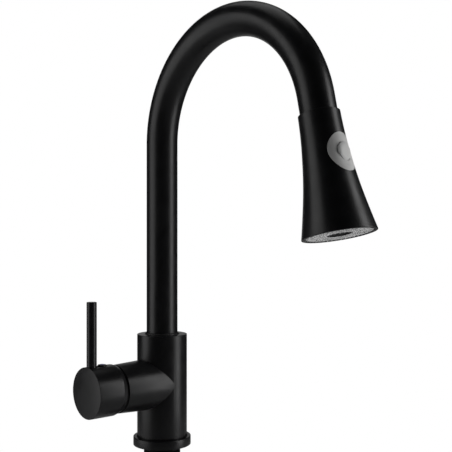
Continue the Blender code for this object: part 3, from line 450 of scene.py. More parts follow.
def turned_metal(name, colour, rough, place=UPRIGHT):
    """Bare turned metal: tool rings, a slow tarnish and brighter edges."""
    made, tree, shader = start_material(name, 1.0)
    spot = place_of(tree, place)
    rings = use(tree, "lathe_lines", Place=spot, Pitch=9000.0)
    cloud = use(tree, "fine_grain", Place=spot, Grain=4200.0, Depth=0.3)
    worn = use(tree, "edge_rub", Place=spot, Amount=0.6)
    smear = use(tree, "handling", Place=spot, Spread=70.0)
    base = blend_colour(tree, cloud.outputs["Tone"], shade(colour, 0.82), shade(colour, 1.06))
    base = blend_colour(tree, worn.outputs["Mask"], base, shade(colour, 1.3))
    tree.links.new(base, shader.inputs["Base Color"])
    gloss = ramp(tree, rings.outputs["Height"], 0.2, 0.8, rough - 0.06, rough + 0.08)
    gloss = math_node(tree, "ADD", gloss, math_node(tree, "MULTIPLY", smear.outputs["Smear"], 0.12), True)
    tree.links.new(gloss, shader.inputs["Roughness"])
    height = math_node(tree, "ADD", rings.outputs["Height"], cloud.outputs["Height"])
    bumps = add(tree, "ShaderNodeBump", Strength=0.2, Distance=0.00003, Height=height)
    tree.links.new(bumps.outputs[0], shader.inputs["Normal"])
    return made


def braided(name, colour, from_uv):
    """Nylon braid: crossing strands with a dull sheen on their crowns, and painted shade: the colour is darker in
    the hollows between strands and lighter on their crowns.
    """
    made, tree, shader = start_material(name)
    coords = tree.nodes.new("ShaderNodeTexCoord")
    if from_uv:
        spot = coords.outputs["UV"]
    else:
        split = add(tree, "ShaderNodeSeparateXYZ", Vector=coords.outputs["Object"])
        turn = math_node(tree, "ARCTAN2", split.outputs[1], split.outputs[0])
        share = math_node(tree, "DIVIDE", turn, math.tau)
        spot = add(tree, "ShaderNodeCombineXYZ", i0=share, i1=split.outputs[2]).outputs[0]
    weave = use(tree, "woven_braid", Place=spot, Strands=12.0, Lay=420.0)
    grain = use(tree, "fine_grain", Place=coords.outputs["Object"], Grain=5200.0, Depth=0.25)
    # painted shade: a quarter of the braid's colour in the hollows between strands, 1.25 times it on their crowns
    base = blend_colour(tree, weave.outputs["Strand"], shade(colour, 0.25), shade(colour, 1.25))
    base = blend_colour(tree, math_node(tree, "MULTIPLY", grain.outputs["Tone"], 0.3), base, shade(colour, 0.8))
    tree.links.new(base, shader.inputs["Base Color"])
    gloss = ramp(tree, weave.outputs["Strand"], 0.0, 1.0, 0.8, 0.48)
    tree.links.new(gloss, shader.inputs["Roughness"])
    fine = math_node(tree, "MULTIPLY", grain.outputs["Height"], 0.1)
    height = math_node(tree, "ADD", weave.outputs["Height"], fine)
    bumps = add(tree, "ShaderNodeBump", Strength=0.9, Distance=0.0004, Height=height)
    tree.links.new(bumps.outputs[0], shader.inputs["Normal"])
    return made


# ------------------------------------------------------------------ what a user may change


def colour_prop(name, description, default):
    return FloatVectorProperty(
        name=name, description=description, subtype="COLOR", size=3, min=0.0, max=1.0, default=default
    )


def length_prop(name, description, default):
    return FloatProperty(name=name, description=description, default=default, min=0.0, unit="LENGTH", precision=5)


class FaucetFinish(bpy.types.PropertyGroup):
    """Colours of the faucet's finishes."""

    coating: colour_prop("Coating", "Matt black coating of the outside", (0.0055, 0.0055, 0.006))
    gap_plastic: colour_prop(
        "Black plastic", "Swivel ring, dome cover, index cap and aerator", (0.008, 0.008, 0.0085)
    )
    pad: colour_prop("Pad", "Soft grey pad and mode button", (0.46, 0.46, 0.455))
    face: colour_prop("Spray face", "Pale spray face and its nozzles", (0.62, 0.62, 0.62))
    index: colour_prop("Index", "Cold mark on the handle", (0.015, 0.03, 0.33))
    brass: colour_prop("Brass", "Shank, nuts and fittings", (0.66, 0.47, 0.2))
    steel: colour_prop("Steel", "Washer, screws and spring", (0.56, 0.56, 0.57))
    rubber: colour_prop("Rubber", "Gaskets, washers and rings", (0.022, 0.022, 0.022))
    braid: colour_prop("Braid", "Nylon braid of the pull out hose", (0.12, 0.12, 0.125))
    white: colour_prop("White plastic", "Inner plastic pieces", (0.72, 0.72, 0.7))
    ceramic: colour_prop("Ceramic", "Valve discs", (0.84, 0.83, 0.79))


class FaucetDetail(bpy.types.PropertyGroup):
    """Small sizes of the fine surfaces."""

    edge: length_prop("Edge", "Rounding of the coated metal's edges", 0.45 * MM)
    ring_edge: length_prop("Base edge", "Rounding of the base ring's upper edge", 0.8 * MM)
    lever_edge: length_prop("Lever edge", "Rounding of the lever's tip", 0.6 * MM)
    thread: length_prop("Thread", "Pitch of the shank's thread", 1.5 * MM)
    thread_depth: length_prop("Thread depth", "Depth of the shank's thread", 0.75 * MM)
    nozzle: length_prop("Nozzle", "Radius of a spray nozzle", 0.75 * MM)
    nozzle_rise: length_prop("Nozzle rise", "How far a nozzle stands out of the face", 0.45 * MM)
    nozzle_rings: IntProperty(name="Nozzle rings", description="Rings of spray nozzles", default=4, min=1, max=6)
    button_round: length_prop("Button edge", "Soft edge of the mode button", 1.6 * MM)
    spring_wire: length_prop("Spring wire", "Radius of the button spring's wire", 0.35 * MM)
    spring_turns: IntProperty(name="Spring turns", description="Turns of the button spring", default=5, min=2, max=9)


# ------------------------------------------------------------------ finishes

LOOKS = {}


def look(name):
    """One of the finishes, made the first time it is asked for."""
    if name in LOOKS:
        return LOOKS[name]
    colours = bpy.context.scene.faucet_finish
    if name == "coating":
        made = skin("matt_black_coating", colours.coating, 0.34, 3800.0, 0.05, dust=0.004, rub=0.03,
                    Specular_IOR_Level=0.2)
    elif name == "gap_plastic":
        made = skin("black_plastic", colours.gap_plastic, 0.5, 2600.0, 0.1, dust=0.004, rub=0.1,
                    Specular_IOR_Level=0.25)
    elif name == "pad":
        made = skin("soft_grey_pad", colours.pad, 0.62, 2400.0, 0.3, dust=0.05, rub=0.3,
                    rub_colour=shade(colours.pad, 1.3))
    elif name == "face":
        made = skin("pale_spray_face", colours.face, 0.5, 2400.0, 0.15, dust=0.0, rub=0.2,
                    rub_colour=shade(colours.face, 1.1))
    elif name == "index":
        made = skin("index_blue", colours.index, 0.3, 2600.0, 0.05, dust=0.0, rub=0.2)
    elif name == "rubber":
        made = skin("black_rubber", colours.rubber, 0.78, 2200.0, 0.3, dust=0.12)
    elif name == "white":
        made = skin("white_plastic", colours.white, 0.45, 2600.0, 0.08, dust=0.05, rub=0.3,
                    rub_colour=shade(colours.white, 1.1))
    elif name == "ceramic":
        made = skin("lapped_ceramic", colours.ceramic, 0.14, 5200.0, 0.03, dust=0.0, rub=0.2,
                    rub_colour=shade(colours.ceramic, 1.1))
    elif name == "brass":
        made = turned_metal("turned_brass", colours.brass, 0.3)
    elif name == "black_brass":
        made = turned_metal("blackened_brass", shade(colours.coating, 2.5), 0.4)
    elif name == "head_brass":
        made = turned_metal("turned_brass_head", colours.brass, 0.3, HEAD)
    elif name == "steel":
        made = turned_metal("plain_steel", colours.steel, 0.32)
    elif name == "braid":
        made = braided("nylon_braid_upright", colours.braid, False)
    elif name == "pull_braid":
        made = braided("nylon_braid_pull", colours.braid, True)
    else:
        raise RuntimeError("no finish named " + name)
    LOOKS[name] = made
    return made


SLOT_LOOKS = {
    "matt_black": "coating", "brass": "brass", "steel": "steel", "rubber": "rubber", "white_plastic": "white",
    "black_plastic": "gap_plastic", "ceramic": "ceramic", "grey_pad": "pad", "pale_face": "face",
    "nylon_braid": "braid", "index_blue": "index",
}


class FAUCET_OT_inner_finishes(bpy.types.Operator):
    """Give every CAD node the finish of its material slot"""

    bl_idname = "faucet.inner_finishes"
    bl_label = "Inner Finishes"

    def execute(self, context):
        slots = {part["node"]: part["material_slot"] for part in frame["record"]["subparts"]}
        for name, node in frame["nodes"].items():
            material = look(SLOT_LOOKS[slots[name]])
            node.data.materials.clear()
            node.data.materials.append(material)
        return {"FINISHED"}


# ------------------------------------------------------------------ base, body and what clamps it


class FAUCET_OT_base(bpy.types.Operator):
    """Turn the base ring and the gasket under it"""

    bl_idname = "faucet.base"
    bl_label = "Base Ring"

    def execute(self, context):
        detail = context.scene.faucet_detail
        ring = Span("base_ring", UPRIGHT)
        gasket = Span("base_gasket", UPRIGHT)
        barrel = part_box("mixer_body")
        foot = barrel[0].z - GAP
        seat = barrel[1].y + 0.35 * MM
        profile = rounded([
            (seat, ring.high), (ring.outer, ring.high), (ring.outer, ring.low),
            (gasket.outer + GAP, ring.low), (gasket.outer + GAP, gasket.high + GAP),
            (ring.inner, gasket.high + GAP), (ring.inner, foot), (seat, foot),
        ], {0: 0.25 * MM, 1: detail.ring_edge, 2: 0.4 * MM}, closed=True)
        piece("base_flange", lathe(profile, closed=True), "faucet_body", look("coating"), ["base_ring"])
        soft = rounded([
            (gasket.outer, gasket.high), (gasket.outer, gasket.low),
            (gasket.inner, gasket.low), (gasket.inner, gasket.high),
        ], {0: 0.3 * MM, 1: 0.3 * MM}, closed=True)
        piece("foot_gasket", lathe(soft, closed=True), "faucet_body", look("rubber"), ["base_gasket"])
        return {"FINISHED"}


class FAUCET_OT_body(bpy.types.Operator):
    """Turn the barrel and its side stub, join them and bore them"""

    bl_idname = "faucet.body"
    bl_label = "Body"

    def execute(self, context):
        detail = context.scene.faucet_detail
        low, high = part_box("mixer_body")
        valve = Span("mixer_body", VALVE)
        stub_radius = valve.radius_near(valve.high)
        root_rings = [r for z, r in valve.rings if abs(z - high.y) < 0.3 * MM and r < high.y]
        root_radius = max(root_rings)
        ring = Span("spout_slide_ring", UPRIGHT)
        socket = ring.radius_near(ring.low) + 0.4 * MM
        socket_floor = Span("spout_ferrule", UPRIGHT).low - 0.5 * MM
        passage = Span("hose_in_body", UPRIGHT).outer + 1.2 * MM
        shank = Span("mounting_shank", UPRIGHT)
        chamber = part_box("cartridge_seal")
        cavity_floor = -chamber[1].x - GAP
        cavity = Span("cartridge_base", VALVE).outer + GAP
        barrel = lathe(rounded([
            (passage, socket_floor), (socket, socket_floor), (socket, high.z), (high.y, high.z), (high.y, low.z),
            (shank.outer + GAP, low.z), (shank.outer + GAP, shank.high + GAP), (passage, shank.high + GAP),
        ], {2: 0.2 * MM, 3: detail.edge, 4: detail.edge}, closed=True), closed=True)
        root_round = 5 * MM
        stub = moved(lathe(rounded([
            (0, 0), (root_radius, 0), (root_radius, high.y), (stub_radius, valve.high), (0, valve.high),
        ], {2: root_round, 3: detail.edge}, steps=8)), VALVE)
        room = moved(bar(cavity, cavity_floor, valve.high + 1 * MM, SIDES), VALVE)
        screw = Span("spout_set_screw", axis_place((0, 0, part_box("spout_set_screw")[0].z), (0, 1, 0)))
        middle = sum((corner.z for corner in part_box("spout_set_screw")), 0.0) / 2
        across = axis_place((0, 0, middle), (0, 1, 0))
        radius = (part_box("spout_set_screw")[1].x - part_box("spout_set_screw")[0].x) / 2
        hole = moved(bar(radius + GAP, screw.low - 1 * MM, high.y + 2 * MM, 48), across)
        bore = bar(passage, shank.high, socket_floor + 1 * MM, SIDES)
        body = joined(
            barrel, ("UNION", stub), ("DIFFERENCE", bore), ("DIFFERENCE", room), ("DIFFERENCE", hole)
        )
        piece("faucet_barrel", body, "faucet_body", look("coating"), ["mixer_body"], sharp=9)
        head_end = screw.high
        grub = lathe(rounded([
            (0, head_end - 1.8 * MM), (1.15 * MM, head_end - 1.6 * MM), (1.15 * MM, head_end), (radius, head_end),
            (radius, screw.low + 6 * MM), (1.2 * MM, screw.low + 5.6 * MM), (1.2 * MM, screw.low), (0, screw.low),
        ], {3: 0.25 * MM}), 48)
        piece("spout_screw", moved(grub, across), "faucet_body", look("steel"), ["spout_set_screw"])
        return {"FINISHED"}


class FAUCET_OT_dome(bpy.types.Operator):
    """Turn the round cover that closes the gap between stub and handle"""

    bl_idname = "faucet.dome"
    bl_label = "Dome Cover"

    def execute(self, context):
        cover = Span("dome_ring", VALVE)
        rise = max(math.hypot(z - PIVOT, r) for z, r in cover.rings)
        mouth = min(r for z, r in cover.rings if abs(math.hypot(z - PIVOT, r) - rise) < 0.2 * MM)
        skirt = Span("cartridge_base", VALVE).outer - GAP
        inside = min(r for z, r in cover.rings if z - cover.low < 0.1 * MM)
        seat = -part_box("mixer_body")[0].x + GAP
        rim = math.sqrt(rise ** 2 - (seat - PIVOT) ** 2)
        inner_rise = rise - 1.8 * MM
        steps = 14
        profile = [(inside, cover.low), (skirt, cover.low), (skirt, seat)]
        for i in range(steps + 1):
            ring = rim + (mouth - rim) * i / steps
            profile.append((ring, PIVOT + math.sqrt(rise ** 2 - ring ** 2)))
        for i in range(steps + 1):
            ring = mouth + (inside - 0.3 * MM - mouth) * i / steps
            profile.append((ring, PIVOT + math.sqrt(inner_rise ** 2 - ring ** 2)))
        shape = moved(lathe(profile, closed=True), VALVE)
        piece("dome_cover", shape, "faucet_body", look("gap_plastic"), ["dome_ring"])
        return {"FINISHED"}


class FAUCET_OT_clamp(bpy.types.Operator):
    """Cut the shank's thread and make the washers and nut under the worktop"""

    bl_idname = "faucet.clamp"
    bl_label = "Under Worktop"

    def execute(self, context):
        detail = context.scene.faucet_detail
        shank = Span("mounting_shank", UPRIGHT)
        thread_top = -2 * MM
        profile = [(shank.inner, shank.low), (shank.outer - detail.thread_depth, shank.low)]
        height = shank.low + 0.8 * MM
        while height + detail.thread < thread_top:
            profile.append((shank.outer - detail.thread_depth, height))
            profile.append((shank.outer, height + detail.thread * 0.42))
            profile.append((shank.outer, height + detail.thread * 0.58))
            height += detail.thread
        profile += [
            (shank.outer - detail.thread_depth, height), (shank.outer, height + 0.8 * MM),
            (shank.outer, shank.high), (shank.inner, shank.high),
        ]
        piece("threaded_shank", lathe(profile, closed=True), "faucet_body", look("black_brass"),
              ["mounting_shank"])
        for node, name, finish, slot in (
            ("deck_washer_rubber", "soft_washer", "rubber", "rubber"),
            ("deck_washer_steel", "plate_washer", "steel", "steel"),
        ):
            span = Span(node, UPRIGHT)
            edge = (span.high - span.low) * 0.2
            washer = rounded([
                (span.inner, span.high), (span.outer, span.high), (span.outer, span.low), (span.inner, span.low),
            ], {0: edge, 1: edge, 2: edge, 3: edge}, closed=True)
            piece(name, lathe(washer, closed=True), "faucet_body", look(finish), [node])
        nut = Span("shank_nut", UPRIGHT)
        hexagon = lathe([(0, nut.high), (nut.outer, nut.high), (nut.outer, nut.low), (0, nut.low)], 6)
        flats = nut.outer * math.cos(math.pi / 6)
        rim = 1.2 * MM
        crown = lathe([
            (0, nut.high), (flats, nut.high), (nut.outer + 1 * MM, nut.high - rim * 1.4),
            (nut.outer + 1 * MM, nut.low + rim * 1.4), (flats, nut.low), (0, nut.low),
        ])
        way, mouth = shank.outer + GAP, shank.outer + 1.6 * MM
        bore = lathe([
            (0, nut.high + 1 * MM), (mouth, nut.high + 1 * MM), (way, nut.high - 0.6 * MM),
            (way, nut.low + 0.6 * MM), (mouth, nut.low - 1 * MM), (0, nut.low - 1 * MM),
        ])
        shape = joined(hexagon, ("INTERSECT", crown), ("DIFFERENCE", bore))
        piece("clamp_nut", shape, "faucet_body", look("brass"), ["shank_nut"], sharp=12)
        return {"FINISHED"}


class FAUCET_OT_hose_end(bpy.types.Operator):
    """Make the hose in the shank and the connector at its end"""

    bl_idname = "faucet.hose_end"
    bl_label = "Hose End"

    def execute(self, context):
        hose = Span("hose_in_body", UPRIGHT)
        shape = bar(hose.outer, hose.low, hose.high)
        piece("lower_hose", shape, "faucet_body", look("braid"), ["hose_in_body"])
        end = Span("hose_end_connector", UPRIGHT)
        crimp = end.radius_near(end.high)
        tail = end.radius_near(end.low, 0.2 * MM)
        profile = [(0, end.high), (crimp - 0.5 * MM, end.high), (crimp, end.high - 0.5 * MM)]
        for i in range(3):
            top = end.high - (2.0 + 2.2 * i) * MM
            profile += [
                (crimp, top), (crimp - 0.35 * MM, top - 0.3 * MM),
                (crimp - 0.35 * MM, top - 0.8 * MM), (crimp, top - 1.1 * MM),
            ]
        waist, collar = crimp - 1.2 * MM, crimp - 0.4 * MM
        bore, bore_depth = 2.4 * MM, 10 * MM
        profile += [
            (crimp, end.high - 8.8 * MM), (waist, end.high - 9.5 * MM),
            (waist, end.high - 11.5 * MM), (collar, end.high - 12 * MM),
            (collar, end.low + 2 * MM), (tail, end.low), (bore, end.low),
            (bore, end.low + bore_depth), (0, end.low + bore_depth),
        ]
        piece("hose_coupling", lathe(profile, FINE_SIDES), "faucet_body", look("brass"),
              ["hose_end_connector"])
        return {"FINISHED"}


# ------------------------------------------------------------------ handle


class FAUCET_OT_handle(bpy.types.Operator):
    """Turn the hub and its lever, and set the index cap in the hub"""

    bl_idname = "faucet.handle"
    bl_label = "Handle"

    def execute(self, context):
        detail = context.scene.faucet_detail
        hub = Span("handle_hub", VALVE)
        lever_low, lever_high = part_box("lever_pin")
        lever_radius = (lever_high.y - lever_low.y) / 2
        lever_out = -(lever_low.x + lever_high.x) / 2
        height = VALVE.translation.z
        cap_low, cap_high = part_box("index_plug")
        cap_radius = (cap_high.y - cap_low.y) / 2
        cap_out = -(cap_low.x + cap_high.x) / 2
        wall = 2.8 * MM
        dome = Span("dome_ring", VALVE)
        dome_radius = max(math.hypot(z - PIVOT, r) for z, r in dome.rings)
        solid = lathe(rounded([
            (0, hub.low), (hub.outer, hub.low), (hub.outer, hub.high), (0, hub.high),
        ], {1: 0.3 * MM, 2: detail.edge}))
        bore, flare = hub.outer - wall, 1.0 * MM
        floor, floor_radius = PIVOT + dome_radius + 0.8 * MM, 12 * MM
        hollow = lathe([
            (0, hub.low - 1 * MM), (bore + flare, hub.low - 1 * MM),
            (bore, hub.low + 2.5 * MM), (bore, hub.low + 5 * MM), (floor_radius, floor), (0, floor),
        ])
        grow = math.tan(math.radians(15.6))
        start = hub.outer - 4 * MM * grow
        bevel = lathe([
            (start - 1 * MM * grow, hub.low - 1 * MM), (start + 9 * MM * grow, hub.low + 9 * MM),
            (hub.outer + 8 * MM, hub.low + 9 * MM), (hub.outer + 8 * MM, hub.low - 1 * MM),
        ], closed=True)
        bmesh.ops.translate(bevel, vec=(0.42 * MM, 0, 0), verts=bevel.verts)
        stem = Span("cartridge_stem", VALVE)
        stem_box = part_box("cartridge_stem")
        width = stem_box[1].y - stem_box[0].y + 2 * GAP
        socket = brick((width, width, 20 * MM), (0, 0, stem.high + GAP - 10 * MM))
        upward = Matrix.Rotation(math.radians(90), 4, "Y")
        seat = Matrix.Translation((0, 0, lever_out)) @ upward
        sink = moved(lathe(rounded([
            (0, hub.outer + 3 * MM), (lever_radius + 0.2 * MM, hub.outer + 3 * MM),
            (lever_radius + 0.2 * MM, hub.outer - 2.3 * MM), (2.8 * MM, hub.outer - 2.3 * MM),
            (2.8 * MM, lever_low.z - height - GAP), (0, lever_low.z - height - GAP),
        ], {}), FINE_SIDES), seat)
        cap_floor = cap_low.z - height - 0.2 * MM
        cap_hole = moved(lathe([
            (0, hub.outer + 2 * MM), (cap_radius + 0.2 * MM, hub.outer + 2 * MM), (cap_radius + 0.2 * MM, cap_floor),
            (2.6 * MM, cap_floor), (2.6 * MM, 2.8 * MM), (0, 2.8 * MM),
        ], FINE_SIDES), Matrix.Translation((0, 0, cap_out)) @ upward)
        shape = joined(
            solid, ("DIFFERENCE", bevel), ("DIFFERENCE", hollow), ("DIFFERENCE", socket),
            ("DIFFERENCE", sink), ("DIFFERENCE", cap_hole),
        )
        piece("hub", moved(shape, VALVE), "lever", look("coating"), ["handle_hub"], sharp=9)

        rod = lathe(rounded([
            (0, lever_high.z), (lever_radius, lever_high.z), (lever_radius, height + hub.outer - 2.1 * MM),
            (2.5 * MM, height + hub.outer - 2.1 * MM), (2.5 * MM, lever_low.z), (0, lever_low.z),
        ], {1: detail.lever_edge}, steps=6), FINE_SIDES)
        bmesh.ops.translate(rod, vec=(-lever_out, 0, 0), verts=rod.verts)
        piece("lever_rod", rod, "lever", look("coating"), ["lever_pin"])

        mark_low, mark_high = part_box("index_mark")
        mark = (mark_high.y - mark_low.y) / 2
        cap = lathe(rounded([
            (0, mark_low.z - 0.2 * MM), (mark + 0.15 * MM, mark_low.z - 0.2 * MM), (mark + 0.15 * MM, cap_high.z),
            (cap_radius, cap_high.z - 0.1 * MM), (cap_radius, cap_low.z), (0, cap_low.z),
        ], {3: 0.6 * MM}), FINE_SIDES)
        bmesh.ops.translate(cap, vec=(-cap_out, 0, 0), verts=cap.verts)
        piece("index_cap", cap, "lever", look("gap_plastic"), ["index_plug"])
        dot = lathe(rounded([
            (0, mark_high.z), (mark * 0.75, mark_high.z - 0.08 * MM), (mark, mark_high.z - 0.45 * MM),
            (mark, mark_low.z), (0, mark_low.z),
        ], {1: 0.4 * MM, 2: 0.3 * MM}), FINE_SIDES)
        bmesh.ops.translate(dot, vec=(-cap_out, 0, 0), verts=dot.verts)
        piece("index_dot", dot, "lever", look("index"), ["index_mark"])
        return {"FINISHED"}


# ------------------------------------------------------------------ spout


class FAUCET_OT_spout(bpy.types.Operator):
    """Bend the spout tube and make the ring it turns in and the bush in its outlet"""

    bl_idname = "faucet.spout"
    bl_label = "Spout"

    def execute(self, context):
        low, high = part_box("spout_tube")
        radius = high.x
        wall = 1.2 * MM
        sweep = math.acos(max(-1.0, min(1.0, HEAD_WAY.z)))
        sleeve = HEAD.translation
        outlet = -SHELL.low + 12 * MM
        bend = high.z - radius
        # the arch's radius follows from the outlet's place: its sweep ends in the straight outlet
        run = 13.06 * MM
        arch = -(sleeve.y - HEAD_WAY.y * run) / (1 - math.cos(sweep))
        spring = bend - arch
        shape = bmesh.new()
        for size in (radius, radius - wall):
            bmesh.ops.create_circle(shape, segments=72, radius=size, matrix=Matrix.Translation((0, 0, low.z)))
        foot = shape.edges[:]

        def stretch(edges, way):
            grown = bmesh.ops.extrude_edge_only(shape, edges=edges)["geom"]
            corners = [g for g in grown if isinstance(g, bmesh.types.BMVert)]
            bmesh.ops.translate(shape, vec=way, verts=corners)
            return [g for g in grown if isinstance(g, bmesh.types.BMEdge)]

        last = stretch(foot, (0, 0, spring - low.z))
        ends = list({v for e in last for v in e.verts})
        swept = bmesh.ops.spin(
            shape, geom=ends + last, cent=(0, -arch, spring), axis=(1, 0, 0), angle=sweep, steps=120
        )["geom_last"]
        last = [g for g in swept if isinstance(g, bmesh.types.BMEdge)]
        last = stretch(last, HEAD_WAY * (run + outlet))
        bmesh.ops.bridge_loops(shape, edges=foot)
        bmesh.ops.bridge_loops(shape, edges=last)
        bmesh.ops.recalc_face_normals(shape, faces=shape.faces)
        piece("spout_pipe", shape, "spout", look("coating"), ["spout_tube"], sharp=30)

        ring = Span("spout_slide_ring", UPRIGHT)
        body_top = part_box("mixer_body")[1].z
        lip = ring.radius_near(ring.high - 0.9 * MM, 0.3 * MM)
        profile = rounded([
            (ring.inner, ring.high), (lip, ring.high - 0.9 * MM), (lip, body_top - 0.4 * MM),
            (ring.outer, body_top - 0.8 * MM), (ring.outer, ring.low), (ring.inner, ring.low),
        ], {1: 0.3 * MM}, closed=True)
        piece("swivel_ring", lathe(profile, closed=True), "spout", look("gap_plastic"),
              ["spout_slide_ring"])

        bush = Span("docking_bush", HEAD)
        lip_start = outlet + GAP
        throat, entry = bush.inner, 9.5 * MM
        profile = rounded([
            (radius - wall - GAP, bush.low), (radius - wall - GAP, lip_start), (bush.outer, lip_start),
            (bush.outer, bush.high), (entry, bush.high), (throat, -2 * MM), (throat, bush.low),
        ], {3: 0.3 * MM, 4: 0.3 * MM}, closed=True)
        piece("outlet_bush", moved(lathe(profile, 96, closed=True), HEAD), "spout", look("white"),
              ["docking_bush"])
        return {"FINISHED"}


class FAUCET_OT_pull_hose(bpy.types.Operator):
    """Make the hose that draws out of the spout, and the brass nut on its end"""

    bl_idname = "faucet.pull_hose"
    bl_label = "Pull Out Hose"

    def execute(self, context):
        hose = Span("hose_outlet_stretch", HEAD)
        length = hose.high - hose.low
        whole = length + PULL
        rings = 240
        shape = bmesh.new()
        uv = shape.loops.layers.uv.new("UVMap")
        bmesh.ops.create_circle(shape, segments=32, radius=hose.outer)
        last = shape.edges[:]
        first = last
        heights = [0.0]
        for i in range(1, rings + 1):
            # the share of the straight piece whose stretched place is this far along
            goal = whole * i / rings
            a, b = 0.0, 1.0
            for _ in range(40):
                t = (a + b) / 2
                if t * length + (3 * t * t - 2 * t ** 3) * PULL < goal:
                    a = t
                else:
                    b = t
            grown = bmesh.ops.extrude_edge_only(shape, edges=last)["geom"]
            corners = [g for g in grown if isinstance(g, bmesh.types.BMVert)]
            bmesh.ops.translate(shape, vec=(0, 0, (a + b) / 2 * length - heights[-1]), verts=corners)
            heights.append((a + b) / 2 * length)
            last = [g for g in grown if isinstance(g, bmesh.types.BMEdge)]
        for rim in (first, last):
            bmesh.ops.contextual_create(shape, geom=rim)
        bmesh.ops.recalc_face_normals(shape, faces=shape.faces)
        for side in shape.faces:
            turns = [math.atan2(loop.vert.co.y, loop.vert.co.x) / math.tau for loop in side.loops]
            for loop, turn in zip(side.loops, turns):
                if max(turns) - min(turns) > 0.5 and turn < 0:
                    turn += 1.0
                t = loop.vert.co.z / length
                loop[uv].uv = (turn, t * length + (3 * t * t - 2 * t ** 3) * PULL)
        moved(shape, HEAD @ Matrix.Translation((0, 0, hose.low)))
        mesh = mesh_of(shape, "pull_out_hose")
        mesh.shade_smooth()
        mesh.materials.append(look("pull_braid"))
        made = bpy.data.objects.new("pull_out_hose", mesh)
        context.scene.collection.objects.link(made)
        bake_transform(made)
        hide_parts("hose_outlet_stretch")

        nut = Span("hose_nut", HEAD)
        neck = nut.radius_near(16 * MM, 3.5 * MM)
        thread = 8.0 * MM
        profile = rounded([
            (nut.inner, nut.low), (nut.radius_near(nut.low, 0.2 * MM), nut.low), (neck, 13.4 * MM),
            (neck, nut.high - 8.4 * MM), (thread, nut.high - 8.0 * MM), (thread, nut.high),
            (nut.inner, nut.high),
        ], {2: 0.8 * MM}, closed=True)
        piece("hose_cone", moved(lathe(profile, 96, closed=True), HEAD), "hose_end", look("head_brass"),
              ["hose_nut"])
        return {"FINISHED"}


# ------------------------------------------------------------------ spray head

def head_radius(down):
    """The head's outer radius at a distance down its axis, a smooth curve through the CAD shell's rings."""
    length = SHELL.high
    known = [SHELL.radius_near(max(0.4 * MM, min(length * i / 11, length - 0.5 * MM)), 0.45 * MM) for i in range(12)]
    spot = min(max(down / length * 11, 0.0), 11.0)
    i = min(int(spot), 10)
    t = spot - i
    before = known[max(i - 1, 0)] if i else 2 * known[0] - known[1]
    after = known[i + 2] if i + 2 <= 11 else 2 * known[11] - known[10]
    slope_a = (known[i + 1] - before) / 2
    slope_b = (after - known[i]) / 2
    a, b = t ** 3, t ** 2
    return (
        (2 * a - 3 * b + 1) * known[i] + (a - 2 * b + t) * slope_a
        + (-2 * a + 3 * b) * known[i + 1] + (a - b) * slope_b
    )


def head_curve(low, high, steps, offset=0.0):
    return [(head_radius(low + (high - low) * i / steps) + offset, low + (high - low) * i / steps)
            for i in range(steps + 1)]


def head_skin(offset, low, high):
    return lathe([(0, low)] + head_curve(low, high, 24, offset) + [(0, high)])


def pad_place():
    """Middle of the pad on the head's axis, and its half sizes."""
    spots = [HEAD.inverted() @ v.co for v in frame["nodes"]["grip_pad"].data.vertices]
    low = min(v.z for v in spots)
    high = max(v.z for v in spots)
    return (low + high) / 2, (high - low) / 2, max(v.x for v in spots)


class FAUCET_OT_spray_head(bpy.types.Operator):
    """Turn the flared shell and sink the pad's pocket in it"""

    bl_idname = "faucet.spray_head"
    bl_label = "Spray Head"

    def execute(self, context):
        face = Span("spray_face", HEAD)
        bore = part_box("spout_tube")[1].x + 0.5 * MM
        web = Span("head_waterway", HEAD).low - 1.2 * MM
        neck = Span("hose_nut", HEAD).radius_near(16 * MM, 3.5 * MM) + GAP
        wall = 2.6 * MM
        top = SHELL.low
        profile = arc_corner((bore, top), (head_radius(0), top), (head_radius(0), 10 * MM), 0.35 * MM, 4)
        profile = [(bore, top)] + profile + head_curve(1.2 * MM, SHELL.high - 1.0 * MM, 60)
        edge = head_radius(SHELL.high)
        profile += arc_corner(
            (head_radius(SHELL.high - 4 * MM), SHELL.high - 4 * MM), (edge, SHELL.high), (0, SHELL.high), 0.6 * MM, 5
        )
        profile += [
            (face.outer + GAP, SHELL.high), (face.outer + GAP, face.low - GAP),
            (face.outer - 1.2 * MM, face.low - GAP),
        ]
        inner_low = face.low - 3 * MM
        inner = head_curve(web, inner_low, 12, -wall)
        inner.reverse()
        profile += inner
        profile += [(neck, web), (neck, web - 2.6 * MM), (bore, web - 2.6 * MM)]
        shell = lathe(profile, closed=True)
        middle, half_length, half_width = pad_place()
        centre = Matrix.Translation((0, 0, middle))
        pocket = moved(oval(half_length + 0.15 * MM, half_width + 0.15 * MM, 4 * MM, PAD_REACH), centre)
        core = head_skin(-1.6 * MM, middle - half_length - 4 * MM, middle + half_length + 4 * MM)
        pocket = joined(pocket, ("DIFFERENCE", core))
        button_length, button_width = button_size()
        hole = moved(oval(button_length + 0.2 * MM, button_width + 0.2 * MM, 5 * MM, PAD_REACH), centre)
        shape = joined(shell, ("DIFFERENCE", pocket), ("DIFFERENCE", hole))
        piece("head_shell", moved(shape, HEAD), "spray_head", look("coating"), ["spray_head_shell"],
              sharp=14)
        return {"FINISHED"}


def button_size():
    spots = [HEAD.inverted() @ v.co for v in frame["nodes"]["mode_button"].data.vertices]
    return (max(v.z for v in spots) - min(v.z for v in spots)) / 2, max(v.x for v in spots)


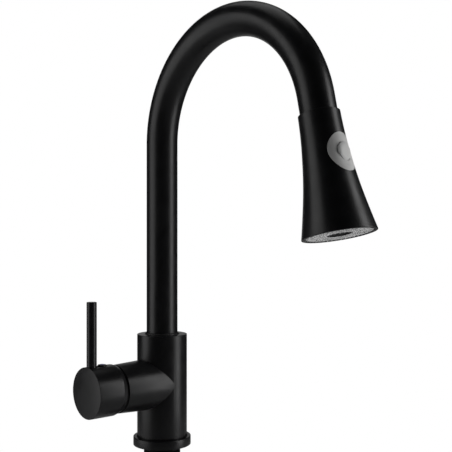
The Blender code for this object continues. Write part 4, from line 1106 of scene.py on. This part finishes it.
class FAUCET_OT_pad(bpy.types.Operator):
    """Cut the flush grey pad to the head's curve and raise the mode button in it"""

    bl_idname = "faucet.pad"
    bl_label = "Pad and Button"

    def execute(self, context):
        detail = context.scene.faucet_detail
        middle, half_length, half_width = pad_place()
        button_length, button_width = button_size()
        centre = Matrix.Translation((0, 0, middle))
        low, high = middle - half_length - 3 * MM, middle + half_length + 3 * MM
        pad = moved(oval(half_length, half_width, 4 * MM, PAD_REACH), centre)
        hole = moved(oval(button_length + 0.2 * MM, button_width + 0.2 * MM, 3 * MM, 40 * MM), centre)
        shape = joined(
            pad, ("INTERSECT", head_skin(0.05 * MM, low, high)),
            ("DIFFERENCE", head_skin(-1.3 * MM, low - 1 * MM, high + 1 * MM)), ("DIFFERENCE", hole),
        )
        piece("soft_pad", moved(shape, HEAD), "spray_head", look("pad"), ["grip_pad"], sharp=20)

        front = head_radius(middle)
        crown = 0.75 * MM
        button = lathe(rounded([
            (0, front - 1.6 * MM), (1.0, front - 1.6 * MM), (1.0, front + crown * 0.25), (0.72, front + crown),
            (0, front + crown * 1.0),
        ], {}), 96)
        bmesh.ops.scale(button, vec=(button_width, button_length, 1), verts=button.verts)
        rim = [e for e in button.edges if all(v.co.z > front for v in e.verts) and e.calc_face_angle(0) > 0.05]
        bmesh.ops.bevel(
            button, geom=rim, offset=detail.button_round * 0.25, segments=4, profile=0.5, affect="EDGES",
            material=-1,
        )
        bmesh.ops.rotate(
            button, cent=(0, 0, 0), matrix=Matrix.Rotation(math.radians(-90), 3, "X"), verts=button.verts
        )
        piece("mode_rocker", moved(button, HEAD @ centre), "button", look("pad"), ["mode_button"],
              sharp=40)
        return {"FINISHED"}


class FAUCET_OT_button_coil(bpy.types.Operator):
    """Wind the coil spring behind the mode button"""

    bl_idname = "faucet.button_coil"
    bl_label = "Button Spring"

    def execute(self, context):
        detail = context.scene.faucet_detail
        slide = axis_place(HEAD @ Vector((0, 0, pad_place()[0])), -Vector(joint("mode_button_press")["axis"]))
        room = Span("button_spring", slide)
        wire = detail.spring_wire
        wire_sides, turn_steps = 10, 28
        middle = (room.inner + room.outer) / 2
        low = room.low + wire
        rise = room.high - room.low - 2 * wire
        steps = turn_steps * detail.spring_turns
        shape = bmesh.new()
        across = Matrix.Translation((middle, 0, low)) @ Matrix.Rotation(math.radians(90), 4, "X")
        bmesh.ops.create_circle(shape, segments=wire_sides, radius=wire, matrix=across)
        first = shape.edges[:]
        wound = bmesh.ops.spin(
            shape, geom=shape.verts[:] + first, cent=(0, 0, 0), axis=(0, 0, 1), dvec=(0, 0, rise / steps),
            angle=math.tau * detail.spring_turns, steps=steps,
        )["geom_last"]
        for rim in (first, [g for g in wound if isinstance(g, bmesh.types.BMEdge)]):
            bmesh.ops.contextual_create(shape, geom=rim)
        bmesh.ops.recalc_face_normals(shape, faces=shape.faces)
        mesh = mesh_of(moved(shape, slide), "button_coil")
        mesh.shade_smooth()
        mesh.materials.append(look("steel"))
        made = bpy.data.objects.new("button_coil", mesh)
        context.scene.collection.objects.link(made)
        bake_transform(made)
        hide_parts("button_spring")
        return {"FINISHED"}


class FAUCET_OT_spray_face(bpy.types.Operator):
    """Turn the spray face, set its nozzles in rings and make the aerator in its middle"""

    bl_idname = "faucet.spray_face"
    bl_label = "Spray Face"

    def execute(self, context):
        detail = context.scene.faucet_detail
        face = Span("spray_face", HEAD)
        plate = rounded([
            (face.inner, face.low), (face.outer, face.low), (face.outer, face.high), (face.inner, face.high),
        ], {2: 0.5 * MM, 3: 0.3 * MM}, closed=True)
        piece("face_plate", moved(lathe(plate, closed=True), HEAD), "spray_head", look("face"),
              ["spray_face"])
        nozzles = bmesh.new()
        first = face.inner + 2.2 * MM
        last = face.outer - 1.9 * MM
        for ring in range(detail.nozzle_rings):
            circle = first + (last - first) * ring / max(1, detail.nozzle_rings - 1)
            count = int(math.tau * circle / (3.4 * MM))
            for i in range(count):
                angle = math.tau * (i + 0.5 * (ring % 2)) / count
                spot = (circle * math.cos(angle), circle * math.sin(angle), face.high + detail.nozzle_rise / 2)
                bmesh.ops.create_cone(
                    nozzles, cap_ends=True, segments=12, radius1=detail.nozzle, radius2=detail.nozzle * 0.62,
                    depth=detail.nozzle_rise + 0.2 * MM, matrix=Matrix.Translation(spot),
                )
        bmesh.ops.recalc_face_normals(nozzles, faces=nozzles.faces)
        piece("spray_nozzles", moved(nozzles, HEAD), "spray_head", look("face"), sharp=35)

        air = Span("aerator", HEAD)
        rim = air.outer - 1.1 * MM
        floor = air.high - 1.4 * MM
        insert = lathe(rounded([
            (0, air.low), (air.outer, air.low), (air.outer, air.high), (rim, air.high), (rim, floor), (0, floor),
        ], {2: 0.3 * MM, 3: 0.3 * MM}), 96)
        piece("aerator_insert", moved(insert, HEAD), "spray_head", look("gap_plastic"), ["aerator"])
        grid = bmesh.new()
        pitch = 1.5 * MM
        count = int(rim / pitch)
        for way in range(2):
            for i in range(-count, count + 1):
                half = math.sqrt(max(0.0, (rim - 0.1 * MM) ** 2 - (i * pitch) ** 2))
                if half < 1 * MM:
                    continue
                size = (2 * half, 0.3 * MM, 0.5 * MM) if way else (0.3 * MM, 2 * half, 0.5 * MM)
                spot = (0, i * pitch, floor + (0.35 + 0.3 * way) * MM) if way else (i * pitch, 0, floor + 0.35 * MM)
                bmesh.ops.create_cube(
                    grid, size=1.0, matrix=Matrix.Translation(spot) @ Matrix.Diagonal((*size, 1.0))
                )
        piece("aerator_screen", moved(grid, HEAD), "spray_head", look("gap_plastic"), sharp=30)
        return {"FINISHED"}


# ------------------------------------------------------------------ stage

CAMERA_AZIMUTH = -41.73          # degrees from straight along +Y
CAMERA_DISTANCE = 0.7426
CAMERA_ASIDE = 0.0581
CAMERA_HEIGHT = 0.19304
CAMERA_LENS = 65.06
CAMERA_SHIFT = 0.0116


def soft_light(name, angle, distance, height, width, tall, power, aim, ahead, right):
    """A soft box round the object; angle 0 is behind the camera and positive angles are to its right."""
    turn = math.radians(angle)
    spot = (-ahead * math.cos(turn) + right * math.sin(turn)) * distance + Vector((0, 0, height))
    box = bpy.data.lights.new(name, "AREA")
    box.shape = "RECTANGLE"
    box.size = width
    box.size_y = tall
    box.energy = power
    made = bpy.data.objects.new(name, box)
    made.location = spot
    made.rotation_euler = (Vector(aim) - spot).to_track_quat("-Z", "Y").to_euler()
    made.visible_camera = False
    bpy.context.scene.collection.objects.link(made)
    return made


class FAUCET_OT_stage(bpy.types.Operator):
    """Set the camera, the pale floor and the soft lights"""

    bl_idname = "faucet.stage"
    bl_label = "Stage"

    def execute(self, context):
        scene = context.scene
        turn = math.radians(CAMERA_AZIMUTH)
        ahead = Vector((-math.sin(turn), math.cos(turn), 0))
        right = Vector((math.cos(turn), math.sin(turn), 0))
        lens = bpy.data.cameras.new("camera")
        lens.lens = CAMERA_LENS
        lens.shift_y = CAMERA_SHIFT
        lens.clip_start = 0.01
        camera = bpy.data.objects.new("camera", lens)
        spot = -ahead * CAMERA_DISTANCE + right * CAMERA_ASIDE
        camera.location = (spot.x, spot.y, CAMERA_HEIGHT)
        camera.rotation_euler = ahead.to_track_quat("-Z", "Y").to_euler()
        scene.collection.objects.link(camera)
        scene.camera = camera

        ground = bmesh.new()
        bmesh.ops.create_grid(ground, x_segments=1, y_segments=1, size=6.0, matrix=Matrix.Translation((0, 0, -0.24)))
        floor = bpy.data.objects.new("floor", mesh_of(ground, "floor"))
        scene.collection.objects.link(floor)
        pale = bpy.data.materials.new("pale_floor")
        pale.use_nodes = True
        tree = pale.node_tree
        tree.nodes["Principled BSDF"].inputs["Base Color"].default_value = (0.8, 0.8, 0.8, 1)
        tree.nodes["Principled BSDF"].inputs["Roughness"].default_value = 0.9
        tree.nodes["Principled BSDF"].inputs["Specular IOR Level"].default_value = 0.1
        bright = add(tree, "ShaderNodeEmission", Strength=1.0)
        path = tree.nodes.new("ShaderNodeLightPath")
        mix = tree.nodes.new("ShaderNodeMixShader")
        tree.links.new(path.outputs["Is Camera Ray"], mix.inputs[0])
        tree.links.new(tree.nodes["Principled BSDF"].outputs[0], mix.inputs[1])
        tree.links.new(bright.outputs[0], mix.inputs[2])
        tree.links.new(mix.outputs[0], tree.nodes["Material Output"].inputs["Surface"])
        floor.data.materials.append(pale)

        world = bpy.data.worlds.new("studio")
        world.use_nodes = True
        scene.world = world
        tree = world.node_tree
        tree.nodes.clear()
        path = tree.nodes.new("ShaderNodeLightPath")
        white = add(tree, "ShaderNodeBackground", Color=(1, 1, 1, 1), Strength=1.0)
        dim = add(tree, "ShaderNodeBackground", Color=(1, 1, 1, 1), Strength=0.01)
        mix = tree.nodes.new("ShaderNodeMixShader")
        out = tree.nodes.new("ShaderNodeOutputWorld")
        tree.links.new(path.outputs["Is Camera Ray"], mix.inputs[0])
        tree.links.new(dim.outputs[0], mix.inputs[1])
        tree.links.new(white.outputs[0], mix.inputs[2])
        tree.links.new(mix.outputs[0], out.inputs["Surface"])

        middle = (0, -0.06, 0.2)
        soft_light("left_box", -73, 1.0, 0.25, 0.8, 1.3, 8.0, middle, ahead, right)
        soft_light("right_box", 80, 1.0, 0.25, 0.4, 1.3, 9.0, middle, ahead, right)
        soft_light("top_box", 180, 0.25, 1.3, 0.8, 0.8, 2.0, middle, ahead, right)
        soft_light("back_box", 180, 1.3, 0.45, 0.8, 0.9, 1.0, middle, ahead, right)
        scene.view_settings.view_transform = "Standard"
        scene.view_settings.look = "None"
        return {"FINISHED"}


# ------------------------------------------------------------------ panel and run

STEPS = (
    FAUCET_OT_inner_finishes, FAUCET_OT_base, FAUCET_OT_body, FAUCET_OT_dome, FAUCET_OT_clamp, FAUCET_OT_hose_end,
    FAUCET_OT_handle, FAUCET_OT_spout, FAUCET_OT_pull_hose, FAUCET_OT_spray_head, FAUCET_OT_pad,
    FAUCET_OT_button_coil, FAUCET_OT_spray_face, FAUCET_OT_stage,
)


class FAUCET_PT_panel(bpy.types.Panel):
    """The faucet's pieces, sizes and colours"""

    bl_label = "Faucet"
    bl_idname = "FAUCET_PT_panel"
    bl_space_type = "VIEW_3D"
    bl_region_type = "UI"
    bl_category = "Faucet"

    def draw(self, context):
        column = self.layout.column()
        for step in STEPS:
            column.operator(step.bl_idname)
        for group in (context.scene.faucet_finish, context.scene.faucet_detail):
            for name in group.__annotations__:
                column.prop(group, name)


CLASSES = (FaucetFinish, FaucetDetail, *STEPS, FAUCET_PT_panel)


def register():
    for item in CLASSES:
        bpy.utils.register_class(item)
    bpy.types.Scene.faucet_finish = PointerProperty(type=FaucetFinish)
    bpy.types.Scene.faucet_detail = PointerProperty(type=FaucetDetail)


def unregister():
    del bpy.types.Scene.faucet_detail
    del bpy.types.Scene.faucet_finish
    for item in reversed(CLASSES):
        bpy.utils.unregister_class(item)


def main():
    register()
    for step in STEPS:
        group, action = step.bl_idname.split(".")
        getattr(getattr(bpy.ops, group), action)()


if __name__ == "__main__":
    main()
